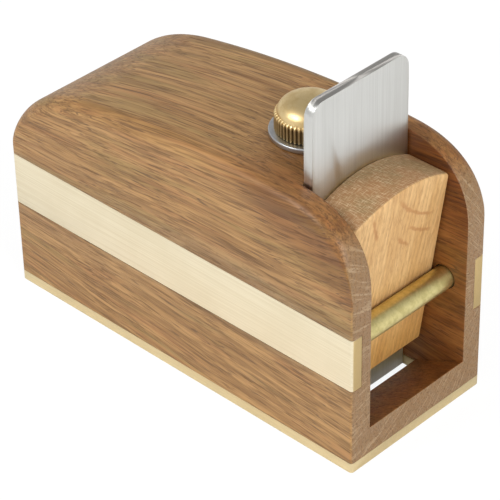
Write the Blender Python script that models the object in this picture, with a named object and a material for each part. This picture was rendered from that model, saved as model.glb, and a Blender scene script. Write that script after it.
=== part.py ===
"""Small hand plane with an upright iron: an oak body with brass sole and inlays.

The body is one block. Behind the iron it is solid and serves as bed and palm rest. In front of
the iron two cheeks and a ramped floor leave a throat that is open at the toe and at the top. A
wedge holds the iron against the bed and bears on a brass pin that crosses the cheeks. A captive
screw behind the iron, turned by a fluted knob, drives a nut block whose dog lifts the iron.

Frame: origin under the middle of the sole, +X towards the toe, +Y to the left side, +Z up.
Lengths are written in millimetres and are turned into metres where a mesh is made.
"""

import math

import bmesh
import bpy
from mathutils import Vector

MM = 0.001

# Clearances
GLUE_GAP = 0.1
RUN_GAP = 0.3
OVERCUT = 2.0

# Body block
BODY_LENGTH = 124.0
BODY_WIDTH = 50.0
CORNER_RADIUS = 0.9
SOLE_THICKNESS = 3.0
BODY_BOTTOM = SOLE_THICKNESS + GLUE_GAP

# Side profile of the body's top: a long arc, run out by a rounded heel and a rounded toe
CROWN_X = 27.4
CROWN_Z = 74.55
CROWN_RADIUS = 336.0
HEEL_RUN = 28.0
HEEL_DROP = 15.6
HEEL_POWER = 2.1
TOE_RUN = 25.0
TOE_DROP = 22.0
TOE_POWER = 2.65
HEEL_SHOULDER = 5.0
TOE_SHOULDER = 3.0

# Throat, between the cheeks
THROAT_HALF_WIDTH = 18.1
BED_X = 39.0
RAMP_FOOT_X = 45.8
RAMP_TOE_Z = 11.2

# Mouth in the sole
MOUTH_BACK_X = 38.8
MOUTH_HALF_WIDTH = 17.75

# Iron
BLADE_BACK_X = 39.2
BLADE_THICKNESS = 2.8
BLADE_WIDTH = 35.0
BLADE_EDGE_Z = 0.3
BLADE_TOP_Z = 97.3
BLADE_CORNER_RADIUS = 4.0
BLADE_BEVEL_DEG = 30.0
DOG_Z = 36.0
DOG_RADIUS = 3.0

# Wedge
WEDGE_BACK_X = BLADE_BACK_X + BLADE_THICKNESS + RUN_GAP
WEDGE_HALF_WIDTH = 17.6
WEDGE_FOOT_Z = 12.1
WEDGE_FOOT_X = 47.8
WEDGE_CROWN_Z = 72.0
WEDGE_ARCH_RADIUS = 36.0
WEDGE_TAPER_DEG = 8.4
WEDGE_EDGE_BREAK = 0.5

# Inlay strips
INLAY_BOTTOM_Z = 26.2
INLAY_HEIGHT = 15.8
INLAY_THICKNESS = 3.5

# Cross pin
PIN_RADIUS = 3.2
PIN_X = 54.7
PIN_Z = 34.9
PIN_LENGTH = 42.4

# Adjuster
SCREW_X = 25.0
SCREW_RADIUS = 2.9
SCREW_FOOT_Z = 14.5
SCREW_TOP_Z = 80.0
WASHER_RADIUS = 10.5
WASHER_THICKNESS = 1.5
WASHER_Z = 74.7
KNOB_Z = WASHER_Z + WASHER_THICKNESS + GLUE_GAP
KNOB_RADIUS = 9.05
KNOB_FLUTE_DEPTH = 0.5
KNOB_FLUTES = 50
KNOB_BAND_HEIGHT = 4.8
KNOB_DOME_RADIUS = 8.5
KNOB_DOME_HEIGHT = 4.3
CHANNEL_HALF_WIDTH = 6.0
CHANNEL_BACK_X = 18.5
CHANNEL_FLOOR_Z = 20.0
CHANNEL_TOP_Z = 60.0
UPPER_BUSH_RADIUS = 5.0
LOWER_BUSH_RADIUS = 4.1
LOWER_BUSH_FOOT_Z = 14.2
COLLAR_RADIUS = 5.0
COLLAR_HEIGHT = 5.4
SET_SCREW_RADIUS = 1.4
CARRIAGE_HEIGHT = 12.0
CARRIAGE_HALF_WIDTH = 5.6
CARRIAGE_BACK_X = 19.6
CARRIAGE_FRONT_X = 37.5

# Sole screws
SOLE_SCREW_SPOTS = [(-52.0, 17.0), (2.0, 17.0), (53.0, 21.2)]
SOLE_SCREW_HEAD_RADIUS = 3.2
SOLE_SCREW_SHANK_RADIUS = 1.6
SOLE_SCREW_LENGTH = 14.0
SOLE_SCREW_SINK = 1.7

FINISHES = {
    "smoked_oak": ((0.36, 0.19, 0.08), 0.55, 0.0),
    "light_oak": ((0.62, 0.40, 0.18), 0.55, 0.0),
    "brushed_brass": ((0.78, 0.66, 0.40), 0.32, 1.0),
    "turned_brass": ((0.74, 0.52, 0.20), 0.22, 1.0),
    "aged_brass": ((0.60, 0.50, 0.20), 0.35, 1.0),
    "blade_steel": ((0.62, 0.62, 0.61), 0.30, 1.0),
    "zinc_steel": ((0.50, 0.51, 0.53), 0.35, 1.0),
}


def clear_scene():
    """Remove whatever the file starts with."""
    for old in list(bpy.data.objects):
        bpy.data.objects.remove(old, do_unlink=True)


def finish(name):
    """Return the named Principled material, made on first use."""
    material = bpy.data.materials.get(name)
    if material is None:
        colour, roughness, metallic = FINISHES[name]
        material = bpy.data.materials.new(name)
        material.use_nodes = True
        shader = material.node_tree.nodes["Principled BSDF"]
        shader.inputs["Base Color"].default_value = (*colour, 1.0)
        shader.inputs["Roughness"].default_value = roughness
        shader.inputs["Metallic"].default_value = metallic
    return material


def add_object(name, shape, finish_name, origin=(0.0, 0.0, 0.0)):
    """Turn a bmesh in millimetres into an object whose origin sits at a given point."""
    bmesh.ops.recalc_face_normals(shape, faces=shape.faces)
    bmesh.ops.translate(shape, verts=shape.verts, vec=-Vector(origin))
    bmesh.ops.scale(shape, verts=shape.verts, vec=(MM, MM, MM))
    mesh = bpy.data.meshes.new(name)
    shape.to_mesh(mesh)
    shape.free()
    mesh.shade_smooth()
    mesh.set_sharp_from_angle(angle=math.radians(30.0))
    thing = bpy.data.objects.new(name, mesh)
    thing.location = Vector(origin) * MM
    if finish_name:
        mesh.materials.append(finish(finish_name))
    bpy.context.collection.objects.link(thing)
    return thing


def cut(target, cutter):
    """Subtract a guide solid from a piece."""
    cutter.hide_render = True
    cutter.display_type = "WIRE"
    modifier = target.modifiers.new(cutter.name, "BOOLEAN")
    modifier.operation = "DIFFERENCE"
    modifier.solver = "EXACT"
    modifier.object = cutter


def loft(sections):
    """Skin closed rings of equal length and cap both ends."""
    shape = bmesh.new()
    rings = [[shape.verts.new(point) for point in section] for section in sections]
    for ring, following in zip(rings, rings[1:]):
        for index, corner in enumerate(ring):
            after = (index + 1) % len(ring)
            shape.faces.new((corner, ring[after], following[after], following[index]))
    shape.faces.new(rings[0])
    shape.faces.new(rings[-1])
    return shape


def turned(profile, sides, centre=(0.0, 0.0, 0.0), axis="Z"):
    """Turn a list of (radius, height) points round an axis, as a solid with flat ends."""
    order = {"X": (2, 0, 1), "Y": (1, 2, 0), "Z": (0, 1, 2)}[axis]
    sections = []
    for radius, height in profile:
        ring = []
        for index in range(sides):
            angle = 2.0 * math.pi * index / sides
            local = (radius * math.cos(angle), radius * math.sin(angle), height)
            ring.append(Vector(centre) + Vector([local[place] for place in order]))
        sections.append(ring)
    return loft(sections)


def tube(outer, inner, foot, top, sides, centre):
    """A sleeve with a vertical bore right through it."""
    profile = [(outer, foot), (outer, top), (inner, top), (inner, foot)]
    shape = bmesh.new()
    rings = []
    for radius, height in profile:
        ring = []
        for index in range(sides):
            angle = 2.0 * math.pi * index / sides
            spot = (centre[0] + radius * math.cos(angle), centre[1] + radius * math.sin(angle), height)
            ring.append(shape.verts.new(spot))
        rings.append(ring)
    for place, ring in enumerate(rings):
        following = rings[(place + 1) % len(rings)]
        for index, corner in enumerate(ring):
            after = (index + 1) % sides
            shape.faces.new((corner, ring[after], following[after], following[index]))
    return shape


def block(low, high):
    """A box between two corners."""
    ring = [(low[0], low[1]), (high[0], low[1]), (high[0], high[1]), (low[0], high[1])]
    return loft([[(x, y, z) for x, y in ring] for z in (low[2], high[2])])


def prism(outline, low, high, along):
    """Extrude a flat outline between two stations along X, Y or Z."""
    places = {"X": lambda a, b, s: (s, a, b), "Y": lambda a, b, s: (a, s, b), "Z": lambda a, b, s: (a, b, s)}
    place = places[along]
    return loft([[place(a, b, station) for a, b in outline] for station in (low, high)])


def arc(centre, radius, start_deg, end_deg, steps):
    """Points of a circular arc, both ends included."""
    angles = [math.radians(start_deg + (end_deg - start_deg) * i / steps) for i in range(steps + 1)]
    return [(centre[0] + radius * math.cos(a), centre[1] + radius * math.sin(a)) for a in angles]


def rounded_rectangle(half_length, half_width, radius, steps):
    """Outline of a rectangle with four equal round corners."""
    outline = []
    for sign_x, sign_y, start in ((1, 1, 0), (-1, 1, 90), (-1, -1, 180), (1, -1, 270)):
        centre = (sign_x * (half_length - radius), sign_y * (half_width - radius))
        outline += arc(centre, radius, start, start + 90, steps)
    return outline


# ---------------------------------------------------------------------------------------------
# Body
# ---------------------------------------------------------------------------------------------

def run_out(share, power):
    """How far a superellipse has dropped, from 0 at share 0 to 1 at share 1."""
    share = min(max(share, 0.0), 1.0)
    return 1.0 - (1.0 - share ** power) ** (1.0 / power)


def top_height(x):
    """Height of the body's top along its middle."""
    height = CROWN_Z - (x - CROWN_X) ** 2 / (2.0 * CROWN_RADIUS)
    half = BODY_LENGTH / 2.0
    height -= HEEL_DROP * run_out((-x - (half - HEEL_RUN)) / HEEL_RUN, HEEL_POWER)
    height -= TOE_DROP * run_out((x - (half - TOE_RUN)) / TOE_RUN, TOE_POWER)
    return height


def half_width(x):
    """Half width of the block: full, but for the rounded upright corners."""
    inside = max(abs(x) - (BODY_LENGTH / 2.0 - CORNER_RADIUS), 0.0)
    return BODY_WIDTH / 2.0 - CORNER_RADIUS + math.sqrt(max(CORNER_RADIUS ** 2 - inside ** 2, 0.0))


def shoulder_radius(x):
    """Radius between side and top, which shrinks from heel to toe."""
    share = 0.5 + x / BODY_LENGTH
    return HEEL_SHOULDER + (TOE_SHOULDER - HEEL_SHOULDER) * share


def body_section(x):
    """Closed ring of the body at one station, seen along X."""
    steps = 6
    width = half_width(x)
    radius = shoulder_radius(x)
    top = top_height(x)
    left = arc((width - radius, top - radius), radius, 0, 90, steps)
    right = [(-y, z) for y, z in reversed(left)]
    outline = [(-width, BODY_BOTTOM), (width, BODY_BOTTOM)] + left + right
    return [(x, y, z) for y, z in outline]


def body_stations():
    """Stations along X, close together where heel, toe and corners turn."""
    half = BODY_LENGTH / 2.0
    turn_steps = 12
    stations = set()
    for index in range(turn_steps + 1):
        angle = 0.5 * math.pi * index / turn_steps
        stations.add(round(-(half - HEEL_RUN) - HEEL_RUN * math.sin(angle) ** (2.0 / HEEL_POWER), 3))
        stations.add(round(half - TOE_RUN + TOE_RUN * math.sin(angle) ** (2.0 / TOE_POWER), 3))
    for index in range(4):
        inset = CORNER_RADIUS * (1.0 - math.sin(0.5 * math.pi * index / 3))
        stations.update((round(half - inset, 3), round(inset - half, 3)))
    middle_steps = 8
    span = BODY_LENGTH - HEEL_RUN - TOE_RUN
    stations.update(round(HEEL_RUN - half + span * index / middle_steps, 3) for index in range(middle_steps))
    ordered = sorted(stations)
    return [x for x, before in zip(ordered, [ordered[0] - 1.0] + ordered) if x - before > 0.02]


def make_body():
    """The oak block with its throat, rebates, pin holes and adjuster cavity."""
    body = add_object("body", loft([body_section(x) for x in body_stations()]), "smoked_oak")

    beyond = BODY_LENGTH / 2.0 + OVERCUT
    slope = (RAMP_TOE_Z - BODY_BOTTOM) / (BODY_LENGTH / 2.0 - RAMP_FOOT_X)
    throat = [
        (BED_X, -OVERCUT),
        (RAMP_FOOT_X, -OVERCUT),
        (RAMP_FOOT_X, BODY_BOTTOM),
        (beyond, RAMP_TOE_Z + slope * OVERCUT),
        (beyond, CROWN_Z + OVERCUT),
        (BED_X, CROWN_Z + OVERCUT),
    ]
    cut(body, add_object("cut_throat", prism(throat, -THROAT_HALF_WIDTH, THROAT_HALF_WIDTH, "Y"), None))

    inner = BODY_WIDTH / 2.0 - INLAY_THICKNESS - GLUE_GAP
    outer = BODY_WIDTH / 2.0 + OVERCUT
    low = INLAY_BOTTOM_Z - GLUE_GAP
    high = INLAY_BOTTOM_Z + INLAY_HEIGHT + GLUE_GAP
    for side, sign in (("left", 1), ("right", -1)):
        near, far = sorted((sign * inner, sign * outer))
        rebate = block((-beyond, near, low), (beyond, far, high))
        cut(body, add_object("cut_rebate_" + side, rebate, None))

    pin_profile = [(PIN_RADIUS + RUN_GAP, -BODY_WIDTH / 2), (PIN_RADIUS + RUN_GAP, BODY_WIDTH / 2)]
    cut(body, add_object("cut_pin_hole", turned(pin_profile, 40, (PIN_X, 0, PIN_Z), "Y"), None))

    channel = block((CHANNEL_BACK_X, -CHANNEL_HALF_WIDTH, CHANNEL_FLOOR_Z),
                    (BED_X + OVERCUT, CHANNEL_HALF_WIDTH, CHANNEL_TOP_Z))
    cut(body, add_object("cut_channel", channel, None))

    upper = UPPER_BUSH_RADIUS + GLUE_GAP
    lower = LOWER_BUSH_RADIUS + GLUE_GAP
    middle_z = (CHANNEL_FLOOR_Z + CHANNEL_TOP_Z) / 2.0
    bore = [(lower, LOWER_BUSH_FOOT_Z - GLUE_GAP), (lower, middle_z), (upper, middle_z), (upper, CROWN_Z + OVERCUT)]
    cut(body, add_object("cut_bore", turned(bore, 32, (SCREW_X, 0, 0)), None))

    pilot = [(SOLE_SCREW_SHANK_RADIUS + GLUE_GAP, 0.0),
             (SOLE_SCREW_SHANK_RADIUS + GLUE_GAP, SOLE_SCREW_LENGTH + GLUE_GAP)]
    for number, spot in enumerate(sole_screw_spots(), 1):
        cut(body, add_object(f"cut_pilot_{number}", turned(pilot, 16, (*spot, 0)), None))
    return body


# ---------------------------------------------------------------------------------------------
# Brass plates and pin
# ---------------------------------------------------------------------------------------------

def sole_screw_spots():
    """Centres of the sole screws: a row on each side."""
    return [(x, sign * y) for sign in (1, -1) for x, y in SOLE_SCREW_SPOTS]


def make_sole_plate():
    """The brass plate with its mouth and its countersunk holes."""
    outline = rounded_rectangle(BODY_LENGTH / 2.0, BODY_WIDTH / 2.0, CORNER_RADIUS, 4)
    plate = add_object("sole_plate", prism(outline, 0.0, SOLE_THICKNESS, "Z"), "brushed_brass")
    mouth = block((MOUTH_BACK_X, -MOUTH_HALF_WIDTH, -OVERCUT),
                  (RAMP_FOOT_X, MOUTH_HALF_WIDTH, SOLE_THICKNESS + OVERCUT))
    cut(plate, add_object("cut_mouth", mouth, None))
    head = SOLE_SCREW_HEAD_RADIUS + GLUE_GAP
    shank = SOLE_SCREW_SHANK_RADIUS + GLUE_GAP
    sink = [(head + 1.0, -1.0), (head, 0.0), (shank, SOLE_SCREW_SINK), (shank, SOLE_THICKNESS + OVERCUT)]
    for number, spot in enumerate(sole_screw_spots(), 1):
        cut(plate, add_object(f"cut_sink_{number}", turned(sink, 24, (*spot, 0)), None))


def make_sole_screws():
    """Countersunk screws, driven up through the sole into the oak."""
    radius = SOLE_SCREW_SHANK_RADIUS
    profile = [
        (SOLE_SCREW_HEAD_RADIUS - 0.05, 0.05),
        (radius, SOLE_SCREW_SINK),
        (radius, SOLE_SCREW_LENGTH - 2.0),
        (0.4, SOLE_SCREW_LENGTH),
    ]
    reach = SOLE_SCREW_HEAD_RADIUS + 1.0
    for number, spot in enumerate(sole_screw_spots(), 1):
        origin = (*spot, 0)
        screw = add_object(f"sole_screw_{number}", turned(profile, 24, origin), "turned_brass", origin)
        slot = block((spot[0] - reach, spot[1] - 0.4, -1.0), (spot[0] + reach, spot[1] + 0.4, 0.8))
        cut(screw, add_object(f"cut_slot_{number}", slot, None))


def make_inlay(name, sign):
    """A brass strip, flush with one side of the body and as long as it."""
    half = BODY_LENGTH / 2.0
    outer = BODY_WIDTH / 2.0
    inner = outer - INLAY_THICKNESS
    centre_x = half - CORNER_RADIUS
    centre_y = outer - CORNER_RADIUS
    outline = [(-half, inner), (half, inner)]
    outline += arc((centre_x, centre_y), CORNER_RADIUS, 0, 90, 4)
    outline += arc((-centre_x, centre_y), CORNER_RADIUS, 90, 180, 4)
    outline = [(x, sign * y) for x, y in outline]
    strip = prism(outline, INLAY_BOTTOM_Z, INLAY_BOTTOM_Z + INLAY_HEIGHT, "Z")
    add_object(name, strip, "brushed_brass")


def make_cross_pin():
    """The rod that the wedge bears on, its ends hidden under the inlays."""
    half = PIN_LENGTH / 2.0
    chamfer = 0.4
    profile = [
        (PIN_RADIUS - chamfer, -half),
        (PIN_RADIUS, chamfer - half),
        (PIN_RADIUS, half - chamfer),
        (PIN_RADIUS - chamfer, half),
    ]
    axis_point = (PIN_X, 0, PIN_Z)
    add_object("cross_pin", turned(profile, 32, axis_point, "Y"), "aged_brass", axis_point)


# ---------------------------------------------------------------------------------------------
# Iron and wedge
# ---------------------------------------------------------------------------------------------

def slice_off(shape, point, normal):
    """Cut a closed bmesh with a plane, keep the side behind it and close the hole."""
    geometry = shape.verts[:] + shape.edges[:] + shape.faces[:]
    cut_result = bmesh.ops.bisect_plane(
        shape, geom=geometry, dist=1e-6, plane_co=point, plane_no=normal, clear_outer=True)
    edges = [item for item in cut_result["geom_cut"] if isinstance(item, bmesh.types.BMEdge)]
    bmesh.ops.contextual_create(shape, geom=edges)


def make_blade():
    """The iron: flat front, bevel behind, round top corners and a hole for the dog."""
    half = BLADE_WIDTH / 2.0
    radius = BLADE_CORNER_RADIUS
    front = BLADE_BACK_X + BLADE_THICKNESS
    outline = [(-half, BLADE_EDGE_Z), (half, BLADE_EDGE_Z)]
    outline += arc((half - radius, BLADE_TOP_Z - radius), radius, 0, 90, 6)
    outline += arc((radius - half, BLADE_TOP_Z - radius), radius, 90, 180, 6)
    shape = prism(outline, BLADE_BACK_X, front, "X")
    tilt = math.radians(BLADE_BEVEL_DEG)
    land = 0.15
    slice_off(shape, (front - land, 0, BLADE_EDGE_Z), (-math.cos(tilt), 0, -math.sin(tilt)))
    blade = add_object("blade", shape, "blade_steel")
    hole = [(DOG_RADIUS + 0.2, BLADE_BACK_X - OVERCUT), (DOG_RADIUS + 0.2, front + OVERCUT)]
    cut(blade, add_object("cut_dog_hole", turned(hole, 32, (0, 0, DOG_Z), "X"), None))


def make_wedge():
    """The oak wedge: upright back, raked front and a top arched across its width."""
    half = WEDGE_HALF_WIDTH
    centre_z = WEDGE_CROWN_Z - WEDGE_ARCH_RADIUS
    spread = math.degrees(math.asin(half / WEDGE_ARCH_RADIUS))
    outline = [(-half, WEDGE_FOOT_Z), (half, WEDGE_FOOT_Z)]
    outline += arc((0, centre_z), WEDGE_ARCH_RADIUS, 90 - spread, 90 + spread, 16)
    taper = math.radians(WEDGE_TAPER_DEG)
    shape = prism(outline, WEDGE_BACK_X, PIN_X + PIN_RADIUS, "X")
    slice_off(shape, (WEDGE_FOOT_X, 0, WEDGE_FOOT_Z), (math.cos(taper), 0, -math.sin(taper)))
    wedge = add_object("wedge", shape, "light_oak")
    softening = wedge.modifiers.new("edge_break", "BEVEL")
    softening.width = WEDGE_EDGE_BREAK * MM
    softening.segments = 2
    softening.limit_method = "ANGLE"
    softening.angle_limit = math.radians(40.0)


# ---------------------------------------------------------------------------------------------
# Adjuster
# ---------------------------------------------------------------------------------------------

def fluted_ring(radius, depth, height, centre):
    """One ring of the knob: a circle whose radius dips at every flute."""
    ring = []
    for index in range(2 * KNOB_FLUTES):
        angle = math.pi * index / KNOB_FLUTES
        reach = radius - depth * (index % 2)
        ring.append((centre[0] + reach * math.cos(angle), centre[1] + reach * math.sin(angle), height))
    return ring


def make_knob():
    """The fluted knob with a low dome, bored from below for the screw."""
    centre = (SCREW_X, 0.0)
    top = KNOB_Z + KNOB_BAND_HEIGHT
    root = KNOB_RADIUS - KNOB_FLUTE_DEPTH
    chamfer = 0.4
    rings = [
        fluted_ring(root, 0.0, KNOB_Z, centre),
        fluted_ring(KNOB_RADIUS, KNOB_FLUTE_DEPTH, KNOB_Z + chamfer, centre),
        fluted_ring(KNOB_RADIUS, KNOB_FLUTE_DEPTH, top - chamfer, centre),
        fluted_ring(KNOB_DOME_RADIUS, 0.0, top, centre),
    ]
    dome_steps = 7
    for index in range(1, dome_steps):
        angle = 0.5 * math.pi * index / dome_steps
        radius = KNOB_DOME_RADIUS * math.cos(angle)
        rings.append(fluted_ring(radius, 0.0, top + KNOB_DOME_HEIGHT * math.sin(angle), centre))
    axis_point = (SCREW_X, 0, KNOB_Z)
    knob = add_object("adjuster_knob", loft(rings), "turned_brass", axis_point)
    bore = [(SCREW_RADIUS + GLUE_GAP, KNOB_Z - OVERCUT), (SCREW_RADIUS + GLUE_GAP, SCREW_TOP_Z + GLUE_GAP)]
    cut(knob, add_object("cut_knob_bore", turned(bore, 24, (*centre, 0)), None))


def make_screw():
    """The screw, fast in the knob above and turning in the lower bush."""
    chamfer = 0.5
    profile = [
        (SCREW_RADIUS - chamfer, SCREW_FOOT_Z),
        (SCREW_RADIUS, SCREW_FOOT_Z + chamfer),
        (SCREW_RADIUS, SCREW_TOP_Z),
    ]
    origin = (SCREW_X, 0, KNOB_Z)
    add_object("adjuster_screw", turned(profile, 24, (SCREW_X, 0, 0)), "zinc_steel", origin)


def make_washer_and_bushes():
    """The rings that stay still round the screw."""
    centre = (SCREW_X, 0)
    hole = SCREW_RADIUS + RUN_GAP
    washer_top = WASHER_Z + WASHER_THICKNESS
    bush_top = CROWN_Z - GLUE_GAP
    bush_foot = CHANNEL_TOP_Z - GLUE_GAP
    add_object("knob_washer", tube(WASHER_RADIUS, hole, WASHER_Z, washer_top, 48, centre), "zinc_steel")
    add_object("upper_bush", tube(UPPER_BUSH_RADIUS, hole, bush_foot, bush_top, 32, centre), "turned_brass")
    lower = tube(LOWER_BUSH_RADIUS, hole, LOWER_BUSH_FOOT_Z, CHANNEL_FLOOR_Z - GLUE_GAP, 32, centre)
    add_object("lower_bush", lower, "turned_brass")


def make_collar():
    """The thrust collar under the upper bush, with the screw that fixes it."""
    top = CHANNEL_TOP_Z - GLUE_GAP - RUN_GAP
    foot = top - COLLAR_HEIGHT
    middle = (top + foot) / 2.0
    inner = SCREW_RADIUS + GLUE_GAP
    origin = (SCREW_X, 0, foot)
    ring = tube(COLLAR_RADIUS, inner, foot, top, 32, (SCREW_X, 0))
    collar = add_object("thrust_collar", ring, "zinc_steel", origin)
    hole = [(SET_SCREW_RADIUS + GLUE_GAP, 0.0), (SET_SCREW_RADIUS + GLUE_GAP, COLLAR_RADIUS + OVERCUT)]
    cut(collar, add_object("cut_set_hole", turned(hole, 16, (SCREW_X, 0, middle), "X"), None))
    shank = [(SET_SCREW_RADIUS, inner), (SET_SCREW_RADIUS, COLLAR_RADIUS - 0.2)]
    origin = (SCREW_X, 0, middle)
    add_object("collar_set_screw", turned(shank, 16, origin, "X"), "zinc_steel", origin)


def make_carriage():
    """The nut block in its channel and the dog that reaches into the iron."""
    half = CARRIAGE_HALF_WIDTH
    low = DOG_Z - CARRIAGE_HEIGHT / 2.0
    high = DOG_Z + CARRIAGE_HEIGHT / 2.0
    shape = block((CARRIAGE_BACK_X, -half, low), (CARRIAGE_FRONT_X, half, high))
    carriage = add_object("carriage", shape, "turned_brass")
    bore = [(SCREW_RADIUS + RUN_GAP, low - OVERCUT), (SCREW_RADIUS + RUN_GAP, high + OVERCUT)]
    cut(carriage, add_object("cut_carriage_bore", turned(bore, 32, (SCREW_X, 0, 0)), None))
    root_x = CARRIAGE_FRONT_X - 6.0
    tip_x = BLADE_BACK_X + BLADE_THICKNESS - RUN_GAP
    socket = [(DOG_RADIUS + GLUE_GAP, root_x - GLUE_GAP), (DOG_RADIUS + GLUE_GAP, CARRIAGE_FRONT_X + OVERCUT)]
    cut(carriage, add_object("cut_dog_socket", turned(socket, 32, (0, 0, DOG_Z), "X"), None))
    dog = [(DOG_RADIUS, root_x), (DOG_RADIUS, tip_x - 0.4), (DOG_RADIUS - 0.4, tip_x)]
    add_object("dog_pin", turned(dog, 32, (0, 0, DOG_Z), "X"), "zinc_steel")


def build():
    """Make every piece."""
    clear_scene()
    make_body()
    make_sole_plate()
    make_sole_screws()
    make_inlay("inlay_left", 1)
    make_inlay("inlay_right", -1)
    make_cross_pin()
    make_blade()
    make_wedge()
    make_knob()
    make_screw()
    make_washer_and_bushes()
    make_collar()
    make_carriage()


build()
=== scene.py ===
"""Finished surfaces of a small oak hand plane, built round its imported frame.

The plane is an oak block with brass sole and side strips, an upright iron, an oak wedge behind a
brass cross pin, and a fluted knob that feeds the iron. Each sub-assembly is a class that builds
its meshes from the frame's own boxes and dresses them. Lengths inside the classes are in
millimetres, and meshes are turned into metres when they are made.
"""

import sys

import logging
import math
from dataclasses import dataclass, field
from enum import Enum
from typing import Callable, Iterable, Sequence

import bmesh
import bpy
from mathutils import Euler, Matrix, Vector


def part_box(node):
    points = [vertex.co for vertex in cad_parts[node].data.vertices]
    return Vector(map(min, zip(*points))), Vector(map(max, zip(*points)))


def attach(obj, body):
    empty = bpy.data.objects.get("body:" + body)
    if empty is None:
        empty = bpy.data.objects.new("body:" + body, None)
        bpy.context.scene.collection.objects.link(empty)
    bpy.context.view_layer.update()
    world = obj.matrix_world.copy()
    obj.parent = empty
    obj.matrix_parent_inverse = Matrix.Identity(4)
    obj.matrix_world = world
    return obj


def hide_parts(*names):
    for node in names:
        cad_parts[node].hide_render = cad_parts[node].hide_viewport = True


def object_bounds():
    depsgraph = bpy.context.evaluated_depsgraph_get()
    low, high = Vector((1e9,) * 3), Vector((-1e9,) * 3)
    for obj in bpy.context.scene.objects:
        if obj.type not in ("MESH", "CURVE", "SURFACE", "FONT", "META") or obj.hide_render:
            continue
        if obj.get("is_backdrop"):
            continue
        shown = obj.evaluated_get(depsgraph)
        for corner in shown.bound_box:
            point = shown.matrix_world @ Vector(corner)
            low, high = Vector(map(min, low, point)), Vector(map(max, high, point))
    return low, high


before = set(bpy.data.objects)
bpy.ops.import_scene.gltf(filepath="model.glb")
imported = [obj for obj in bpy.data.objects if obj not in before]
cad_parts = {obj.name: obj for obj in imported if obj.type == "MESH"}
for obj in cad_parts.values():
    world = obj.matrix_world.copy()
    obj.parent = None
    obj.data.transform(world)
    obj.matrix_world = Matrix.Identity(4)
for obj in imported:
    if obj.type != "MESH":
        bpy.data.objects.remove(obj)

MM = 0.001
LOG = logging.getLogger("hand_plane")

Point = tuple[float, float, float]
Colour = tuple[float, float, float]


# ---------------------------------------------------------------------------------------------
# Nodes
# ---------------------------------------------------------------------------------------------

@dataclass(frozen=True)
class Signal:
    """One value on its way through a node tree, with Python's arithmetic."""

    graph: "NodeGraph"
    socket: bpy.types.NodeSocket

    def __add__(self, other: "float | Signal") -> "Signal":
        """The sum."""
        return self.graph.math("ADD", self, other)

    def __radd__(self, other: float) -> "Signal":
        """The sum, with a plain number first."""
        return self.graph.math("ADD", other, self)

    def __sub__(self, other: "float | Signal") -> "Signal":
        """The difference."""
        return self.graph.math("SUBTRACT", self, other)

    def __rsub__(self, other: float) -> "Signal":
        """A plain number less this."""
        return self.graph.math("SUBTRACT", other, self)

    def __mul__(self, other: "float | Signal") -> "Signal":
        """The product."""
        return self.graph.math("MULTIPLY", self, other)

    def __rmul__(self, other: float) -> "Signal":
        """The product, with a plain number first."""
        return self.graph.math("MULTIPLY", other, self)

    def __truediv__(self, other: "float | Signal") -> "Signal":
        """The quotient."""
        return self.graph.math("DIVIDE", self, other)

    def __abs__(self) -> "Signal":
        """The size without its sign."""
        return self.graph.math("ABSOLUTE", self)


class NodeGraph:
    """Nodes of one tree, made and joined by name."""

    def __init__(self, tree: bpy.types.NodeTree) -> None:
        """Keep the tree that the nodes go into."""
        self.tree = tree

    def node(self, kind: str, settings: dict | None = None, inputs: dict | None = None) -> bpy.types.Node:
        """Add a node.

        Args:
            kind: The node's type.
            settings: Its own settings, with a ramp's stops under "stops"; they are set first.
            inputs: Values or signals for its sockets, by name or place.

        Returns:
            The new node.
        """
        made = self.tree.nodes.new(kind)
        for name, value in (settings or {}).items():
            if name == "stops":
                self.set_stops(made.color_ramp, value)
            else:
                setattr(made, name, value)
        for key, value in (inputs or {}).items():
            self.feed(made.inputs[key], value)
        return made

    def out(self, kind: str, settings: dict | None = None, inputs: dict | None = None,
            key: int | str = 0) -> Signal:
        """Add a node and return one of its outputs as a signal.

        Args:
            kind: The node's type.
            settings: Its own settings.
            inputs: Values or signals for its sockets.
            key: The output's name or place.

        Returns:
            That output.
        """
        return Signal(self, self.node(kind, settings, inputs).outputs[key])

    def feed(self, socket: bpy.types.NodeSocket, value: object) -> None:
        """Give a socket a signal or a plain value.

        Args:
            socket: The socket.
            value: A signal, a number, a colour or whatever else the socket holds.
        """
        if isinstance(value, Signal):
            self.tree.links.new(value.socket, socket)
        elif socket.type == "RGBA" and len(value) == 3:
            socket.default_value = (*value, 1.0)
        else:
            socket.default_value = value

    @staticmethod
    def set_stops(ramp: bpy.types.ColorRamp, stops: Sequence[tuple[float, Colour]]) -> None:
        """Lay out a ramp's stops, from left to right.

        Args:
            ramp: The ramp.
            stops: The place and colour of each stop.
        """
        while len(ramp.elements) < len(stops):
            ramp.elements.new(1.0)
        for element, (place, colour) in zip(ramp.elements, stops):
            element.position = place
            element.color = (*colour, 1.0)

    def math(self, operation: str, *values: "float | Signal") -> Signal:
        """A Math node's result for some values."""
        return self.out("ShaderNodeMath", {"operation": operation}, dict(enumerate(values)))

    def clamp(self, value: Signal) -> Signal:
        """The value, held between 0 and 1."""
        return self.math("MINIMUM", self.math("MAXIMUM", value, 0.0), 1.0)

    def split(self, vector: Signal) -> tuple[Signal, Signal, Signal]:
        """The three parts of a vector."""
        made = self.node("ShaderNodeSeparateXYZ", inputs={0: vector})
        return tuple(Signal(self, socket) for socket in made.outputs)

    def join(self, x: "float | Signal", y: "float | Signal", z: "float | Signal") -> Signal:
        """A vector from its three parts."""
        return self.out("ShaderNodeCombineXYZ", inputs={0: x, 1: y, 2: z})


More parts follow.
